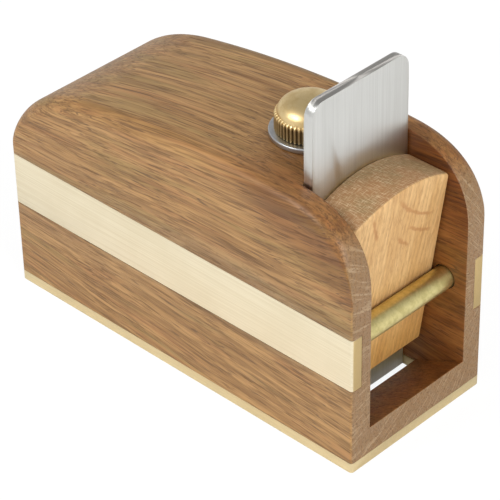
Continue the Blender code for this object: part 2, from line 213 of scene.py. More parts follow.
class ShaderGraph(NodeGraph):
    """A material's nodes, with the steps that wood and metal share."""

    def __init__(self, name: str) -> None:
        """Start a material with an empty tree.

        Args:
            name: The material's name.
        """
        self.material = bpy.data.materials.new(name)
        self.material.use_nodes = True
        super().__init__(self.material.node_tree)
        self.tree.nodes.clear()
        source = self.node("ShaderNodeTexCoord")
        metres = Signal(self, source.outputs["Object"])
        to_millimetres = {0: metres, "Scale": 1.0 / MM}
        self.place = self.out("ShaderNodeVectorMath", {"operation": "SCALE"}, to_millimetres)
        self.facing = Signal(self, source.outputs["Normal"])

    def mix(self, share: "float | Signal", first: "Colour | Signal", second: "Colour | Signal",
            mode: str = "MIX") -> Signal:
        """Blend two colours.

        Args:
            share: How much of the second shows.
            first: The colour underneath.
            second: The colour on top.
            mode: The blend's type.

        Returns:
            The blended colour.
        """
        settings = {"data_type": "RGBA", "blend_type": mode}
        return self.out("ShaderNodeMix", settings, {0: share, 6: first, 7: second}, 2)

    def noise(self, where: Signal, scale: float = 1.0, detail: float = 2.0, roughness: float = 0.5,
              distortion: float = 0.0) -> Signal:
        """Smooth noise from 0 to 1.

        Args:
            where: The place to read it.
            scale: Its frequency in that place's units.
            detail: How many finer layers it has.
            roughness: The strength of the finer layers.
            distortion: How far it is swirled.

        Returns:
            The noise.
        """
        inputs = {"Vector": where, "Scale": scale, "Detail": detail, "Roughness": roughness,
                  "Distortion": distortion}
        return self.out("ShaderNodeTexNoise", None, inputs)

    def stretched(self, place: Sequence[Signal], rates: Sequence[float], detail: float = 2.0,
                  roughness: float = 0.5) -> Signal:
        """Noise that runs at its own rate along each part of a place.

        Args:
            place: The three parts of the place.
            rates: The frequency along each of them, per millimetre.
            detail: How many finer layers the noise has.
            roughness: The strength of the finer layers.

        Returns:
            The noise, from 0 to 1.
        """
        where = self.join(*(part * rate for part, rate in zip(place, rates)))
        return self.noise(where, 1.0, detail, roughness)

    def rise(self, value: Signal, low: float, high: float) -> Signal:
        """A smooth step from 0 at one value to 1 at another."""
        settings = {"interpolation_type": "SMOOTHSTEP"}
        return self.out("ShaderNodeMapRange", settings, {0: value, 1: low, 2: high})

    def ramp(self, value: Signal, stops: Sequence[tuple[float, Colour]]) -> Signal:
        """The colour of a ramp at a value."""
        return self.out("ShaderNodeValToRGB", {"stops": stops}, {0: value})

    def bump(self, height: Signal, depth: float, strength: float = 1.0) -> Signal:
        """A bent normal.

        Args:
            height: The relief, from 0 to 1.
            depth: Its depth in millimetres.
            strength: Its share.

        Returns:
            The normal.
        """
        inputs = {"Height": height, "Distance": depth * MM, "Strength": strength}
        return self.out("ShaderNodeBump", None, inputs)

    def finish(self, colour: Signal, roughness: Signal, normal: Signal,
               **plain: object) -> bpy.types.Material:
        """Join everything to a Principled shader.

        Args:
            colour: Base colour.
            roughness: Roughness.
            normal: Bent normal.
            **plain: Values of other sockets, with underscores for spaces.

        Returns:
            The finished material.
        """
        inputs = {"Base Color": colour, "Roughness": roughness, "Normal": normal}
        for name, value in plain.items():
            inputs[name.replace("_", " ")] = value
        shader = self.out("ShaderNodeBsdfPrincipled", None, inputs)
        self.node("ShaderNodeOutputMaterial", None, {"Surface": shader})
        return self.material


# ---------------------------------------------------------------------------------------------
# Finishes
# ---------------------------------------------------------------------------------------------

class Grain(Enum):
    """The way the wood's fibres run in a piece."""

    LENGTHWISE = "along X"
    UPRIGHT = "along Z"


@dataclass(frozen=True)
class Figure:
    """What a cut through oak shows at a point, and the point's place along and across the fibres."""

    fibre: tuple[Signal, Signal, Signal]
    ring: Signal
    streaks: Signal
    lines: Signal
    pores: Signal
    rays: Signal
    end: Signal


@dataclass(frozen=True)
class Oak:
    """Oak cut from a log: rings round a pith line, open pores, fibres and rays.

    The pith's place is given across and up from the piece's middle line. Its drift is how far
    the fibres move across for each millimetre along the grain, and its spread how fast they
    fan out above and below the pith.
    """

    name: str
    grain: Grain
    pith_across: float
    pith_up: float
    drift: float
    spread: float
    ring_width: float
    wander: float

    def figure(self, graph: ShaderGraph) -> Figure:
        """Work out rings, streaks, pores and rays.

        Args:
            graph: The material's nodes.

        Returns:
            The figure's signals, most of them from 0 to 1.
        """
        x, y, z = graph.split(graph.place)
        face_x, _, face_z = graph.split(graph.facing)
        if self.grain is Grain.LENGTHWISE:
            along, across, up, face = x, y, z, face_x
        else:
            along, across, up, face = z, y, x, face_z
        slow = graph.stretched((along, across, up), (0.020, 0.03, 0.045), 1.0)
        ripple = graph.stretched((along, across, up), (0.07, 0.12, 0.12))
        shift = (slow - 0.5) * self.wander + (ripple - 0.5) * (0.12 * self.wander)
        side = across - self.pith_across - along * self.drift + shift * 0.6
        lift = (up - self.pith_up) / (1.0 + along * self.spread) + shift
        radius = graph.math("SQRT", side * side + lift * lift)
        turn = graph.math("ARCTAN2", lift, side)

        uneven = graph.noise(graph.join(radius * 0.22, 0.0, 0.0), 1.0, 1.0)
        season = graph.math("FRACT", radius / self.ring_width + uneven * 2.2)
        ring = graph.rise(season, 0.0, 0.12) * (1.0 - graph.rise(season, 0.3, 0.75))

        fibre = (along, side, lift)
        streaks = graph.stretched(fibre, (0.022, 1.25, 1.25), 3.0, 0.65)
        seam = graph.stretched(fibre, (0.018, 1.0, 1.0), 1.0)
        broken = graph.noise(graph.join(along * 0.055, side * 1.2, lift * 1.2 + 9.0), 1.0, 1.0)
        lines = (1.0 - graph.rise(abs(seam - 0.5), 0.006, 0.036)) * graph.rise(broken, 0.46, 0.58)
        cells = graph.stretched(fibre, (0.050, 2.1, 2.1), 2.0, 0.6)
        pores = graph.rise(cells, 0.53, 0.63) * (0.7 + 0.3 * ring)

        fan = graph.join(turn * 70.0, radius * 0.12, along * 0.10)
        rays = graph.rise(graph.noise(fan, 1.0, 3.0, 0.6, 0.25), 0.50, 0.66)
        end = graph.rise(abs(face), 0.55, 0.92)
        return Figure(fibre, ring, streaks, lines, pores, rays, end)


@dataclass(frozen=True)
class SmokedOak(Oak):
    """Oiled, smoked oak of the block, with painted shade: darker and redder inside the throat, darker on
    top near the iron.
    """

    throat_half_width: float = 18.1
    bed_x: float = 39.0
    light: Colour = (0.510, 0.285, 0.103)
    middle: Colour = (0.375, 0.196, 0.062)
    dark: Colour = (0.245, 0.121, 0.038)
    red: Colour = (0.430, 0.200, 0.068)
    olive: Colour = (0.335, 0.222, 0.070)
    grey: Colour = (0.285, 0.208, 0.118)
    pore: Colour = (0.125, 0.060, 0.022)
    end_grain: Colour = (0.245, 0.152, 0.078)
    end_ray: Colour = (0.520, 0.390, 0.240)
    # Painted shade: multiplied into the throat's inner walls.
    throat_shade_tint: Colour = (0.700, 0.510, 0.350)
    # Painted shade: multiplied into the top near the iron and the knob.
    iron_shade_tint: Colour = (0.660, 0.540, 0.430)

    def material(self) -> bpy.types.Material:
        """Build the material."""
        graph = ShaderGraph(self.name)
        wood = self.figure(graph)
        x, y, z = graph.split(graph.place)
        along, side, lift = wood.fibre
        bands = graph.stretched(wood.fibre, (0.014, 0.34, 0.34), 3.0, 0.6)
        colour = graph.ramp(bands, [(0.30, self.dark), (0.44, self.middle), (0.58, self.light),
                                    (0.74, self.middle)])
        narrow = graph.noise(graph.join(along * 0.022, side * 0.5, lift * 0.5 + 20.0))
        colour = graph.mix(graph.rise(narrow, 0.50, 0.64) * 0.65, colour, self.red)
        wide = graph.noise(graph.join(along * 0.016, side * 0.22, lift * 0.22 + 40.0))
        colour = graph.mix(graph.rise(wide, 0.52, 0.64) * 0.6, colour, self.olive)

        level = graph.clamp(1.25 - abs(z - 35.0 - x * 0.02) / 13.0) * graph.rise(0.0 - y, 14.0, 20.0)
        cloud = graph.stretched((x, y, z), (0.02, 0.1, 0.22), 3.0)
        band = graph.clamp(level) * graph.rise(cloud, 0.25, 0.6)
        colour = graph.mix(band * 0.9, colour, self.grey)

        colour = graph.mix(wood.ring * 0.16, colour, self.dark)
        colour = graph.mix(graph.rise(wood.streaks, 0.44, 0.62) * 0.70, colour, self.dark)
        colour = graph.mix(graph.rise(wood.streaks, 0.48, 0.34) * 0.40, colour, self.light)
        colour = graph.mix(wood.rays * (1.0 - wood.end) * 0.10, colour, self.light)

        vessels = graph.rise(graph.stretched((x, y, z), (0.2, 2.0, 2.0)), 0.48, 0.62)
        ends = graph.mix(wood.ring * 0.30, self.end_grain, self.dark)
        ends = graph.mix(vessels * 0.45, ends, self.dark)
        ends = graph.mix(wood.rays * 0.42, ends, self.end_ray)
        colour = graph.mix(wood.end * 0.9, colour, ends)
        dots = graph.stretched((x, y, z), (0.55, 1.7, 1.7), 1.0)
        seams = wood.lines * (1.0 - band) * (1.0 - wood.end) * 0.75
        marks = graph.math("MAXIMUM", wood.pores * 0.62, seams)
        marks = graph.math("MAXIMUM", marks, graph.rise(dots, 0.62, 0.72) * band * 0.7)
        colour = graph.mix(marks, colour, self.pore)

        # Painted shade: the throat's inner walls, where little light reaches, are made darker and redder.
        inside = graph.rise(abs(y), self.throat_half_width + 0.35, self.throat_half_width + 0.1)
        inside = inside * graph.rise(x, self.bed_x - 0.5, self.bed_x + 0.5) * (1.0 - wood.end)
        colour = graph.mix(inside, colour, self.throat_shade_tint, "MULTIPLY")
        # Painted shade: the top darkens towards the toe near the iron and the knob, where they shade it.
        crest = z + x * 0.45 + bands * 14.0
        iron_shade = graph.rise(x, 8.0, 36.0) * graph.rise(crest, 80.0, 93.0) * (1.0 - wood.end)
        colour = graph.mix(iron_shade, colour, self.iron_shade_tint, "MULTIPLY")

        roughness = 0.42 + wood.pores * 0.2 + wood.end * 0.12 + wood.streaks * 0.08
        relief = 1.0 - marks - wood.streaks * 0.25
        normal = graph.bump(relief, 0.06, 0.8)
        return graph.finish(colour, roughness, normal, Specular_IOR_Level=0.36, Coat_Weight=0.2,
                            Coat_Roughness=0.35)


@dataclass(frozen=True)
class Fleck:
    """A curved fleck on the wedge's faces: part of a circle, in mm across and up."""

    centre: tuple[float, float]
    radius: float
    middle: tuple[float, float]
    reach: float

    def show(self, graph: ShaderGraph, across: Signal, up: Signal) -> Signal:
        """Draw the fleck.

        Args:
            graph: The material's nodes.
            across: Place across the wedge, in mm.
            up: Height, in mm.

        Returns:
            1 on the fleck and 0 off it.
        """
        side, rise = across - self.centre[0], up - self.centre[1]
        ring = abs(graph.math("SQRT", side * side + rise * rise) - self.radius)
        side, rise = across - self.middle[0], up - self.middle[1]
        reach = graph.math("SQRT", side * side + rise * rise)
        return graph.rise(ring, 0.75, 0.15) * graph.rise(reach, self.reach, self.reach * 0.6)


@dataclass(frozen=True)
class LightOak(Oak):
    """Oiled light oak of the wedge, with curved flecks on its face, a browner end grain, and painted
    shade and warm bounce light at its foot.
    """

    light: Colour = (0.740, 0.480, 0.215)
    middle: Colour = (0.640, 0.385, 0.155)
    dark: Colour = (0.420, 0.225, 0.080)
    pore: Colour = (0.300, 0.150, 0.055)
    fleck: Colour = (0.430, 0.200, 0.065)
    end_grain: Colour = (0.270, 0.172, 0.072)
    end_red: Colour = (0.345, 0.178, 0.072)
    end_ray: Colour = (0.640, 0.480, 0.290)
    # Painted shade and warm bounce light, multiplied in towards the wedge's foot.
    foot_shade_tint: Colour = (0.980, 0.860, 0.580)
    flecks: tuple[Fleck, ...] = (Fleck((21.2, 82.8), 26.4, (5.4, 62.2), 10.5),
                                 Fleck((23.8, 79.6), 29.5, (8.4, 54.6), 6.2),
                                 Fleck((20.3, 71.7), 25.4, (2.6, 53.6), 3.8),
                                 Fleck((38.4, 79.2), 50.5, (-9.6, 64.0), 5.0),
                                 Fleck((20.0, 46.0), 22.0, (6.0, 29.0), 4.5))

    def material(self) -> bpy.types.Material:
        """Build the material."""
        graph = ShaderGraph(self.name)
        wood = self.figure(graph)
        x, y, z = graph.split(graph.place)
        bands = graph.stretched(wood.fibre, (0.010, 0.22, 0.22))
        colour = graph.ramp(bands, [(0.34, self.middle), (0.52, self.light), (0.70, self.middle)])
        colour = graph.mix(wood.ring * 0.30, colour, self.dark)
        fine = graph.stretched((x, y, z), (2.4, 2.4, 0.03), 2.0, 0.6)
        colour = graph.mix(graph.rise(fine, 0.42, 0.62) * 0.22, colour, self.dark)
        colour = graph.mix(graph.rise(wood.streaks, 0.44, 0.68) * 0.30, colour, self.dark)

        # Painted shade and warm bounce light: the wedge grows warmer and darker towards its foot, deep in
        # the throat.
        colour = graph.mix(graph.rise(z, 34.0, 14.0), colour, self.foot_shade_tint, "MULTIPLY")
        waver = graph.noise(graph.join(y * 0.4, z * 0.4, 0.0), 1.0, 2.0) * 1.2 - 0.6
        fleck = self.flecks[0].show(graph, y + waver, z + waver)
        for other in self.flecks[1:]:
            fleck = graph.math("MAXIMUM", fleck, other.show(graph, y + waver, z + waver))
        fleck = fleck * (1.0 - wood.end)
        colour = graph.mix(fleck * 0.75, colour, self.fleck)

        hatch = graph.noise(graph.join(x * 0.40, y * 3.4, 1.0), 1.0, 2.0, 0.6)
        weft = graph.noise(graph.join(x * 3.4, y * 0.35, 5.0), 1.0, 2.0, 0.6)
        tone = graph.noise(graph.join(x * 0.12, y * 0.12, 3.0), 1.0, 2.0)
        ends = graph.mix(graph.rise(tone, 0.40, 0.62), self.end_grain, self.end_red)
        ends = graph.mix(graph.rise(hatch, 0.50, 0.64) * 0.50, ends, self.end_ray)
        ends = graph.mix(graph.rise(weft, 0.52, 0.64) * 0.45, ends, self.end_ray)
        ends = graph.mix(wood.ring * 0.35, ends, self.pore)
        colour = graph.mix(wood.end, colour, ends)
        marks = graph.math("MAXIMUM", wood.pores * 0.35, wood.lines * (1.0 - wood.end) * 0.35)
        colour = graph.mix(marks, colour, self.pore)

        roughness = 0.48 + wood.pores * 0.15 + wood.end * 0.12
        relief = 1.0 - marks - wood.streaks * 0.2 - fleck * 0.2
        normal = graph.bump(relief, 0.05, 0.7)
        return graph.finish(colour, roughness, normal, Specular_IOR_Level=0.4)


class Brushing(Enum):
    """The way a metal's fine lines run."""

    LENGTHWISE = (0.02, 2.4, 2.4)
    UPRIGHT = (2.6, 2.6, 0.03)
    CLOUDED = (0.5, 0.5, 0.5)


@dataclass(frozen=True)
class BrushedMetal:
    """Metal with fine lines, a slow drift of tone and, where it has one, edge faces coloured apart: the
    iron's ground top edge, and the strips' ends darkened as painted shade.
    """

    name: str
    base: Colour
    shade: Colour
    brushing: Brushing
    roughness: float
    line_share: float = 0.3
    cloud_share: float = 0.3
    line_depth: float = 0.004
    edge_axis: int = 0
    edge_shade: Colour | None = None
    lengthened: float = 0.0

    def material(self) -> bpy.types.Material:
        """Build the material."""
        graph = ShaderGraph(self.name)
        place = graph.split(graph.place)
        by_x, by_y, by_z = self.brushing.value
        lines = graph.stretched(place, (by_x, by_y, by_z), 3.0, 0.7)
        coarse = graph.stretched(place, (by_x * 0.3, by_y * 0.3, by_z * 0.5))
        cloud = graph.noise(graph.place, 0.045, 3.0, 0.6)
        streaks = graph.rise(lines * 0.8 + coarse * 0.2, 0.38, 0.64)
        colour = graph.mix(streaks * self.line_share, self.base, self.shade)
        colour = graph.mix(graph.rise(cloud, 0.35, 0.7) * self.cloud_share, colour, self.shade)
        roughness = self.roughness + streaks * 0.06 + cloud * 0.05
        # Edge faces get their own colour: the iron's ground top edge, and painted shade on the strips'
        # ends.
        if self.edge_shade is not None:
            edge = graph.rise(abs(graph.split(graph.facing)[self.edge_axis]), 0.75, 0.98)
            colour = graph.mix(edge, colour, self.edge_shade)
            roughness = roughness + edge * 0.2
        scratches = graph.stretched(place, (by_x * 2.2, by_y * 2.2, by_z), 2.0, 0.7)
        normal = graph.bump(scratches, self.line_depth)
        return graph.finish(colour, roughness, normal, Metallic=1.0, Anisotropic=self.lengthened)


@dataclass(frozen=True)
class TurnedMetal:
    """Metal finished on a lathe: fine rings round an upright axis and a light patina."""

    name: str
    base: Colour
    shade: Colour
    roughness: float
    axis_x: float
    patina: float = 0.4
    # Colour of the patina and of the painted dark reflection.
    patina_and_reflection_colour: Colour = (0.095, 0.055, 0.022)

    def patina_and_dark_reflection(self, graph: ShaderGraph, reach: Signal, z: Signal) -> Signal | None:
        """Where patina and a painted dark reflection are laid on, from 0 to 1. Plain turned metal has
        none.
        """
        return None

    def material(self) -> bpy.types.Material:
        """Build the material."""
        graph = ShaderGraph(self.name)
        x, y, z = graph.split(graph.place)
        off = x - self.axis_x
        reach = graph.math("SQRT", off * off + y * y)
        rings = graph.noise(graph.join(reach * 6.0, z * 6.0, 0.0), 1.0, 2.0, 0.6)
        spots = graph.noise(graph.place, 0.35, 4.0, 0.6)
        colour = graph.mix(graph.rise(spots, 0.40, 0.72) * self.patina, self.base, self.shade)
        colour = graph.mix(graph.rise(rings, 0.45, 0.65) * 0.12, colour, self.shade)
        roughness = self.roughness + graph.rise(spots, 0.35, 0.7) * 0.12
        # Patina in hollows and a painted dark reflection, where a subclass lays them on.
        patina_and_dark_reflection = self.patina_and_dark_reflection(graph, reach, z)
        if patina_and_dark_reflection is not None:
            colour = graph.mix(patina_and_dark_reflection * 0.85, colour, self.patina_and_reflection_colour)
            roughness = roughness + patina_and_dark_reflection * 0.25
        return graph.finish(colour, roughness, graph.bump(rings, 0.003, 0.4), Metallic=1.0)


@dataclass(frozen=True)
class FlutedBrass(TurnedMetal):
    """Turned brass below its dome, with patina in its flutes' roots and a painted dark reflection over
    the fluted band.
    """

    crest_radius: float = 9.05
    band_top: float = 81.0

    def patina_and_dark_reflection(self, graph: ShaderGraph, reach: Signal, z: Signal) -> Signal:
        """Patina in the roots of the flutes, and a painted dark reflection of the shaded wood and iron
        over the whole band.
        """
        root = graph.rise(reach, self.crest_radius - 0.10, self.crest_radius - 0.42)
        below = graph.rise(z, self.band_top - 0.2, self.band_top - 1.3)
        return (0.62 + root * 0.38) * below


@dataclass(frozen=True)
class FinishSet:
    """Every finish of the plane, made once and shared by its pieces."""

    smoked_oak: bpy.types.Material
    light_oak: bpy.types.Material
    inlay_brass: bpy.types.Material
    sole_brass: bpy.types.Material
    knob_brass: bpy.types.Material
    turned_brass: bpy.types.Material
    aged_brass: bpy.types.Material
    blade_steel: bpy.types.Material
    zinc_steel: bpy.types.Material

    @classmethod
    def mixed(cls, adjuster_x: float) -> "FinishSet":
        """Make all the finishes.

        Args:
            adjuster_x: Where the adjuster's axis stands, in millimetres.

        Returns:
            The set.
        """
        brass, brown_brass = (0.86, 0.66, 0.34), (0.60, 0.40, 0.15)
        return cls(
            smoked_oak=SmokedOak("smoked_oak", Grain.LENGTHWISE, 30.0, 34.0, 0.045, 0.003, 1.75,
                                 3.5).material(),
            light_oak=LightOak("light_oak", Grain.UPRIGHT, 70.0, 20.0, 0.02, 0.0, 1.5, 2.0).material(),
            # The strips' ends get painted shade through their edge colour.
            inlay_brass=BrushedMetal("inlay_brass", (0.95, 0.85, 0.63), (0.78, 0.67, 0.45),
                                     Brushing.LENGTHWISE, 0.30, 0.55,
                                     edge_shade=(0.60, 0.45, 0.22)).material(),
            sole_brass=BrushedMetal("sole_brass", (0.84, 0.71, 0.44), (0.66, 0.52, 0.28),
                                    Brushing.LENGTHWISE, 0.32).material(),
            knob_brass=FlutedBrass("knob_brass", brass, brown_brass, 0.33, adjuster_x).material(),
            turned_brass=TurnedMetal("turned_brass", brass, brown_brass, 0.24, adjuster_x).material(),
            aged_brass=BrushedMetal("aged_brass", (0.78, 0.68, 0.32), (0.48, 0.40, 0.14),
                                    Brushing.CLOUDED, 0.34, 0.5, 0.4).material(),
            blade_steel=BrushedMetal("blade_steel", (0.74, 0.74, 0.71), (0.58, 0.57, 0.54),
                                     Brushing.UPRIGHT, 0.36, 0.30, 0.12, 0.02, edge_axis=2,
                                     edge_shade=(0.60, 0.58, 0.55), lengthened=0.9).material(),
            zinc_steel=TurnedMetal("zinc_steel", (0.56, 0.57, 0.58), (0.36, 0.36, 0.37), 0.30,
                                   adjuster_x).material(),
        )


# ---------------------------------------------------------------------------------------------
# Mesh work
# ---------------------------------------------------------------------------------------------

@dataclass(frozen=True)
class Box:
    """A frame node's box in millimetres."""

    low: Vector
    high: Vector

    @classmethod
    def of(cls, node: str) -> "Box":
        """The box of a node of the frame."""
        low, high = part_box(node)
        return cls(low / MM, high / MM)

    @property
    def middle(self) -> Vector:
        """The box's centre."""
        return (self.low + self.high) / 2.0

    @property
    def size(self) -> Vector:
        """The box's lengths."""
        return self.high - self.low


def put_in_scene(name: str, mesh: bpy.types.Mesh) -> bpy.types.Object:
    """Add an object for a mesh."""
    thing = bpy.data.objects.new(name, mesh)
    bpy.context.scene.collection.objects.link(thing)
    return thing


def shade(mesh: bpy.types.Mesh, angle: float = 30.0) -> None:
    """Shade smooth, but for edges sharper than an angle in degrees."""
    mesh.shade_smooth()
    mesh.set_sharp_from_angle(angle=math.radians(angle))


def from_shape(name: str, shape: bmesh.types.BMesh) -> bpy.types.Object:
    """Turn a shape in millimetres into an object in metres with outward faces.

    Args:
        name: The object's name.
        shape: The shape, which is freed.

    Returns:
        The object, at the origin.
    """
    bmesh.ops.recalc_face_normals(shape, faces=shape.faces)
    bmesh.ops.scale(shape, verts=shape.verts, vec=(MM, MM, MM))
    mesh = bpy.data.meshes.new(name)
    shape.to_mesh(mesh)
    shape.free()
    shade(mesh)
    return put_in_scene(name, mesh)


def loft(sections: Sequence[Sequence[Point]]) -> bmesh.types.BMesh:
    """Skin closed rings of equal length and cap both ends.

    Args:
        sections: The rings, from one end to the other.

    Returns:
        The closed shape.
    """
    shape = bmesh.new()
    rings = [[shape.verts.new(point) for point in section] for section in sections]
    for ring, following in zip(rings, rings[1:]):
        for index, corner in enumerate(ring):
            after = (index + 1) % len(ring)
            shape.faces.new((corner, ring[after], following[after], following[index]))
    shape.faces.new(rings[0])
    shape.faces.new(rings[-1])
    return shape


def arc(centre: tuple[float, float], radius: float, start: float, stop: float,
        steps: int) -> list[tuple[float, float]]:
    """Points of a circular arc, both ends included.

    Args:
        centre: Its centre.
        radius: Its radius.
        start: The first angle, in degrees.
        stop: The last angle, in degrees.
        steps: How many steps it has.

    Returns:
        The points.
    """
    angles = [math.radians(start + (stop - start) * index / steps) for index in range(steps + 1)]
    return [(centre[0] + radius * math.cos(a), centre[1] + radius * math.sin(a)) for a in angles]


def prism(outline: Iterable[tuple[float, float]], low: float, high: float,
          along: str) -> bmesh.types.BMesh:
    """Extrude a flat outline along an axis.

    Args:
        outline: Its points, in the other two axes in their order.
        low: Where it starts.
        high: Where it ends.
        along: X, Y or Z.

    Returns:
        The closed shape.
    """
    places: dict[str, Callable[[float, float, float], Point]] = {
        "X": lambda a, b, s: (s, a, b), "Y": lambda a, b, s: (a, s, b), "Z": lambda a, b, s: (a, b, s)}
    points = list(outline)
    return loft([[places[along](a, b, station) for a, b in points] for station in (low, high)])


def turned(profile: Iterable[tuple[float, float]], centre: Sequence[float], along: str = "Z",
           sides: int = 64) -> bmesh.types.BMesh:
    """Turn a profile round an axis, with flat ends.

    Args:
        profile: Its points, each a radius and a height.
        centre: Where height 0 stands.
        along: The axis: X, Y or Z.
        sides: How many sides the round has.

    Returns:
        The closed shape.
    """
    order = {"X": (2, 0, 1), "Y": (1, 2, 0), "Z": (0, 1, 2)}[along]
    sections = []
    for radius, height in profile:
        ring = []
        for index in range(sides):
            angle = math.tau * index / sides
            local = (radius * math.cos(angle), radius * math.sin(angle), height)
            ring.append(tuple(centre[axis] + local[order[axis]] for axis in range(3)))
        sections.append(ring)
    return loft(sections)


def block(low: Sequence[float], high: Sequence[float]) -> bmesh.types.BMesh:
    """A box between two corners."""
    ring = [(low[0], low[1]), (high[0], low[1]), (high[0], high[1]), (low[0], high[1])]
    return prism(ring, low[2], high[2], "Z")


def settle(piece: bpy.types.Object) -> bpy.types.Object:
    """Turn a piece and its live modifiers into one plain mesh.

    Args:
        piece: The piece.

    Returns:
        The same piece, without modifiers.
    """
    bpy.context.view_layer.update()
    ready = piece.evaluated_get(bpy.context.evaluated_depsgraph_get())
    mesh = bpy.data.meshes.new_from_object(ready)
    mesh.name = piece.name
    piece.modifiers.clear()
    old = piece.data
    piece.data = mesh
    bpy.data.meshes.remove(old)
    return piece


def carve(piece: bpy.types.Object, cutters: Iterable[bmesh.types.BMesh]) -> bpy.types.Object:
    """Subtract shapes from a piece, one after another.

    Args:
        piece: The piece, in metres.
        cutters: The shapes, in millimetres, which are freed.

    Returns:
        The same piece.
    """
    tools = []
    for number, shape in enumerate(cutters):
        tool = from_shape(f"{piece.name}_cutter_{number}", shape)
        modifier = piece.modifiers.new(tool.name, "BOOLEAN")
        modifier.operation = "DIFFERENCE"
        modifier.solver = "EXACT"
        modifier.object = tool
        tools.append(tool)
    settle(piece)
    for tool in tools:
        mesh = tool.data
        bpy.data.objects.remove(tool)
        bpy.data.meshes.remove(mesh)
    return piece


def soften(piece: bpy.types.Object, width: float, segments: int = 2, angle: float = 40.0,
           chosen: Callable[[Vector, Vector], bool] = lambda start, end: True) -> bpy.types.Object:
    """Round a piece's sharp edges.

    Args:
        piece: The piece, with a plain mesh in metres.
        width: Width of the rounding in millimetres.
        segments: Steps of the rounding.
        angle: Only edges sharper than this, in degrees, are rounded.
        chosen: Says from an edge's two ends, in millimetres, whether it is rounded.

    Returns:
        The same piece.
    """
    shape = bmesh.new()
    shape.from_mesh(piece.data)
    bmesh.ops.remove_doubles(shape, verts=shape.verts, dist=2e-6)
    bmesh.ops.dissolve_degenerate(shape, edges=shape.edges, dist=1e-6)
    limit = math.radians(angle)
    edges = [edge for edge in shape.edges
             if edge.calc_face_angle(0.0) > limit
             and chosen(edge.verts[0].co / MM, edge.verts[1].co / MM)]
    bmesh.ops.bevel(shape, geom=edges, offset=width * MM, offset_type="OFFSET", segments=segments,
                    profile=0.5, affect="EDGES", clamp_overlap=False)
    shape.to_mesh(piece.data)
    shape.free()
    shade(piece.data)
    return piece


def hand_over(piece: bpy.types.Object, finish: bpy.types.Material, body: str,
              nodes: Sequence[str]) -> None:
    """Dress a finished piece and let it stand for its frame nodes.

    Args:
        piece: The piece.
        finish: Its material.
        body: The body it rides on.
        nodes: The frame nodes it stands for.
    """
    piece.data.materials.clear()
    piece.data.materials.append(finish)
    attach(piece, body)
    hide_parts(*nodes)
    LOG.info("%s: %d faces on %s", piece.name, len(piece.data.polygons), body)


def dress_node(node: str, finish: bpy.types.Material) -> None:
    """Give a frame node that stays a finish of its own.

    Args:
        node: The node's name.
        finish: Its material.
    """
    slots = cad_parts[node].data.materials
    slots.clear()
    slots.append(finish)
    LOG.info("%s: kept, dressed in %s", node, finish.name)


class GrowthTree(NodeGraph):
    """A Geometry Nodes tree that makes one piece from named sizes."""

    merge_within = 0.002

    def __init__(self, name: str, sizes: dict[str, float]) -> None:
        """Start the tree.

        Args:
            name: The piece's name.
            sizes: Its named inputs, in millimetres, whole numbers for counts.
        """
        super().__init__(bpy.data.node_groups.new(name, "GeometryNodeTree"))
        self.name = name
        self.sizes = sizes
        face = self.tree.interface
        face.new_socket("Geometry", in_out="INPUT", socket_type="NodeSocketGeometry")
        for label, value in sizes.items():
            kind = "NodeSocketInt" if isinstance(value, int) else "NodeSocketFloat"
            face.new_socket(label, in_out="INPUT", socket_type=kind)
        face.new_socket("Geometry", in_out="OUTPUT", socket_type="NodeSocketGeometry")
        self.source = self.node("NodeGroupInput")

    def size(self, label: str) -> Signal:
        """One of the named inputs."""
        return Signal(self, self.source.outputs[label])

    def sheet(self, around: "int | Signal", rows: "int | Signal") -> tuple[Signal, Signal, Signal]:
        """Make a grid.

        Args:
            around: Points round the piece.
            rows: Points along its profile.

        Returns:
            The grid, and its two shares from 0 to 1: round the piece and along its profile.
        """
        inputs = {"Size X": 1.0, "Size Y": 1.0, "Vertices X": around, "Vertices Y": rows}
        grid = self.out("GeometryNodeMeshGrid", None, inputs)
        u, v, _ = self.split(self.out("GeometryNodeInputPosition"))
        return grid, u + 0.5, v + 0.5

    def wrap(self, grid: Signal, angle: Signal, radius: Signal, height: Signal) -> Signal:
        """Bend a grid round the upright axis and close its seam and poles.

        Args:
            grid: The grid.
            angle: The angle at each point.
            radius: The distance from the axis at each point.
            height: The height at each point.

        Returns:
            The closed mesh.
        """
        x = radius * self.math("COSINE", angle)
        y = radius * self.math("SINE", angle)
        placed = self.out("GeometryNodeSetPosition", None,
                          {"Geometry": grid, "Position": self.join(x, y, height)})
        return self.out("GeometryNodeMergeByDistance", None,
                        {"Geometry": placed, "Distance": self.merge_within})

    def grow(self, result: Signal, finish: bpy.types.Material, place: Sequence[float],
             seed: bpy.types.Mesh | None = None) -> bpy.types.Object:
        """End the tree, run it and keep its result as a plain mesh.

        Args:
            result: The geometry to show, in millimetres.
            finish: Its material.
            place: Where the piece goes, in millimetres.
            seed: The mesh that the tree starts from, if it needs one.

        Returns:
            The piece, at the origin, in metres.
        """
        real = self.out("GeometryNodeRealizeInstances", None, {"Geometry": result})
        dressed = self.out("GeometryNodeSetMaterial", None, {"Geometry": real, "Material": finish})
        self.node("NodeGroupOutput", None, {0: dressed})
        carrier = put_in_scene(self.name, seed or bpy.data.meshes.new(self.name))
        modifier = carrier.modifiers.new(self.name, "NODES")
        modifier.node_group = self.tree
        for item in self.tree.interface.items_tree:
            if item.in_out == "INPUT" and item.name in self.sizes:
                modifier[item.identifier] = self.sizes[item.name]
        settle(carrier)
        shape = bmesh.new()
        shape.from_mesh(carrier.data)
        bmesh.ops.recalc_face_normals(shape, faces=shape.faces)
        bmesh.ops.translate(shape, verts=shape.verts, vec=Vector(place))
        bmesh.ops.scale(shape, verts=shape.verts, vec=(MM, MM, MM))
        shape.to_mesh(carrier.data)
        shape.free()
        shade(carrier.data)
        return carrier


# ---------------------------------------------------------------------------------------------
# Block
# ---------------------------------------------------------------------------------------------

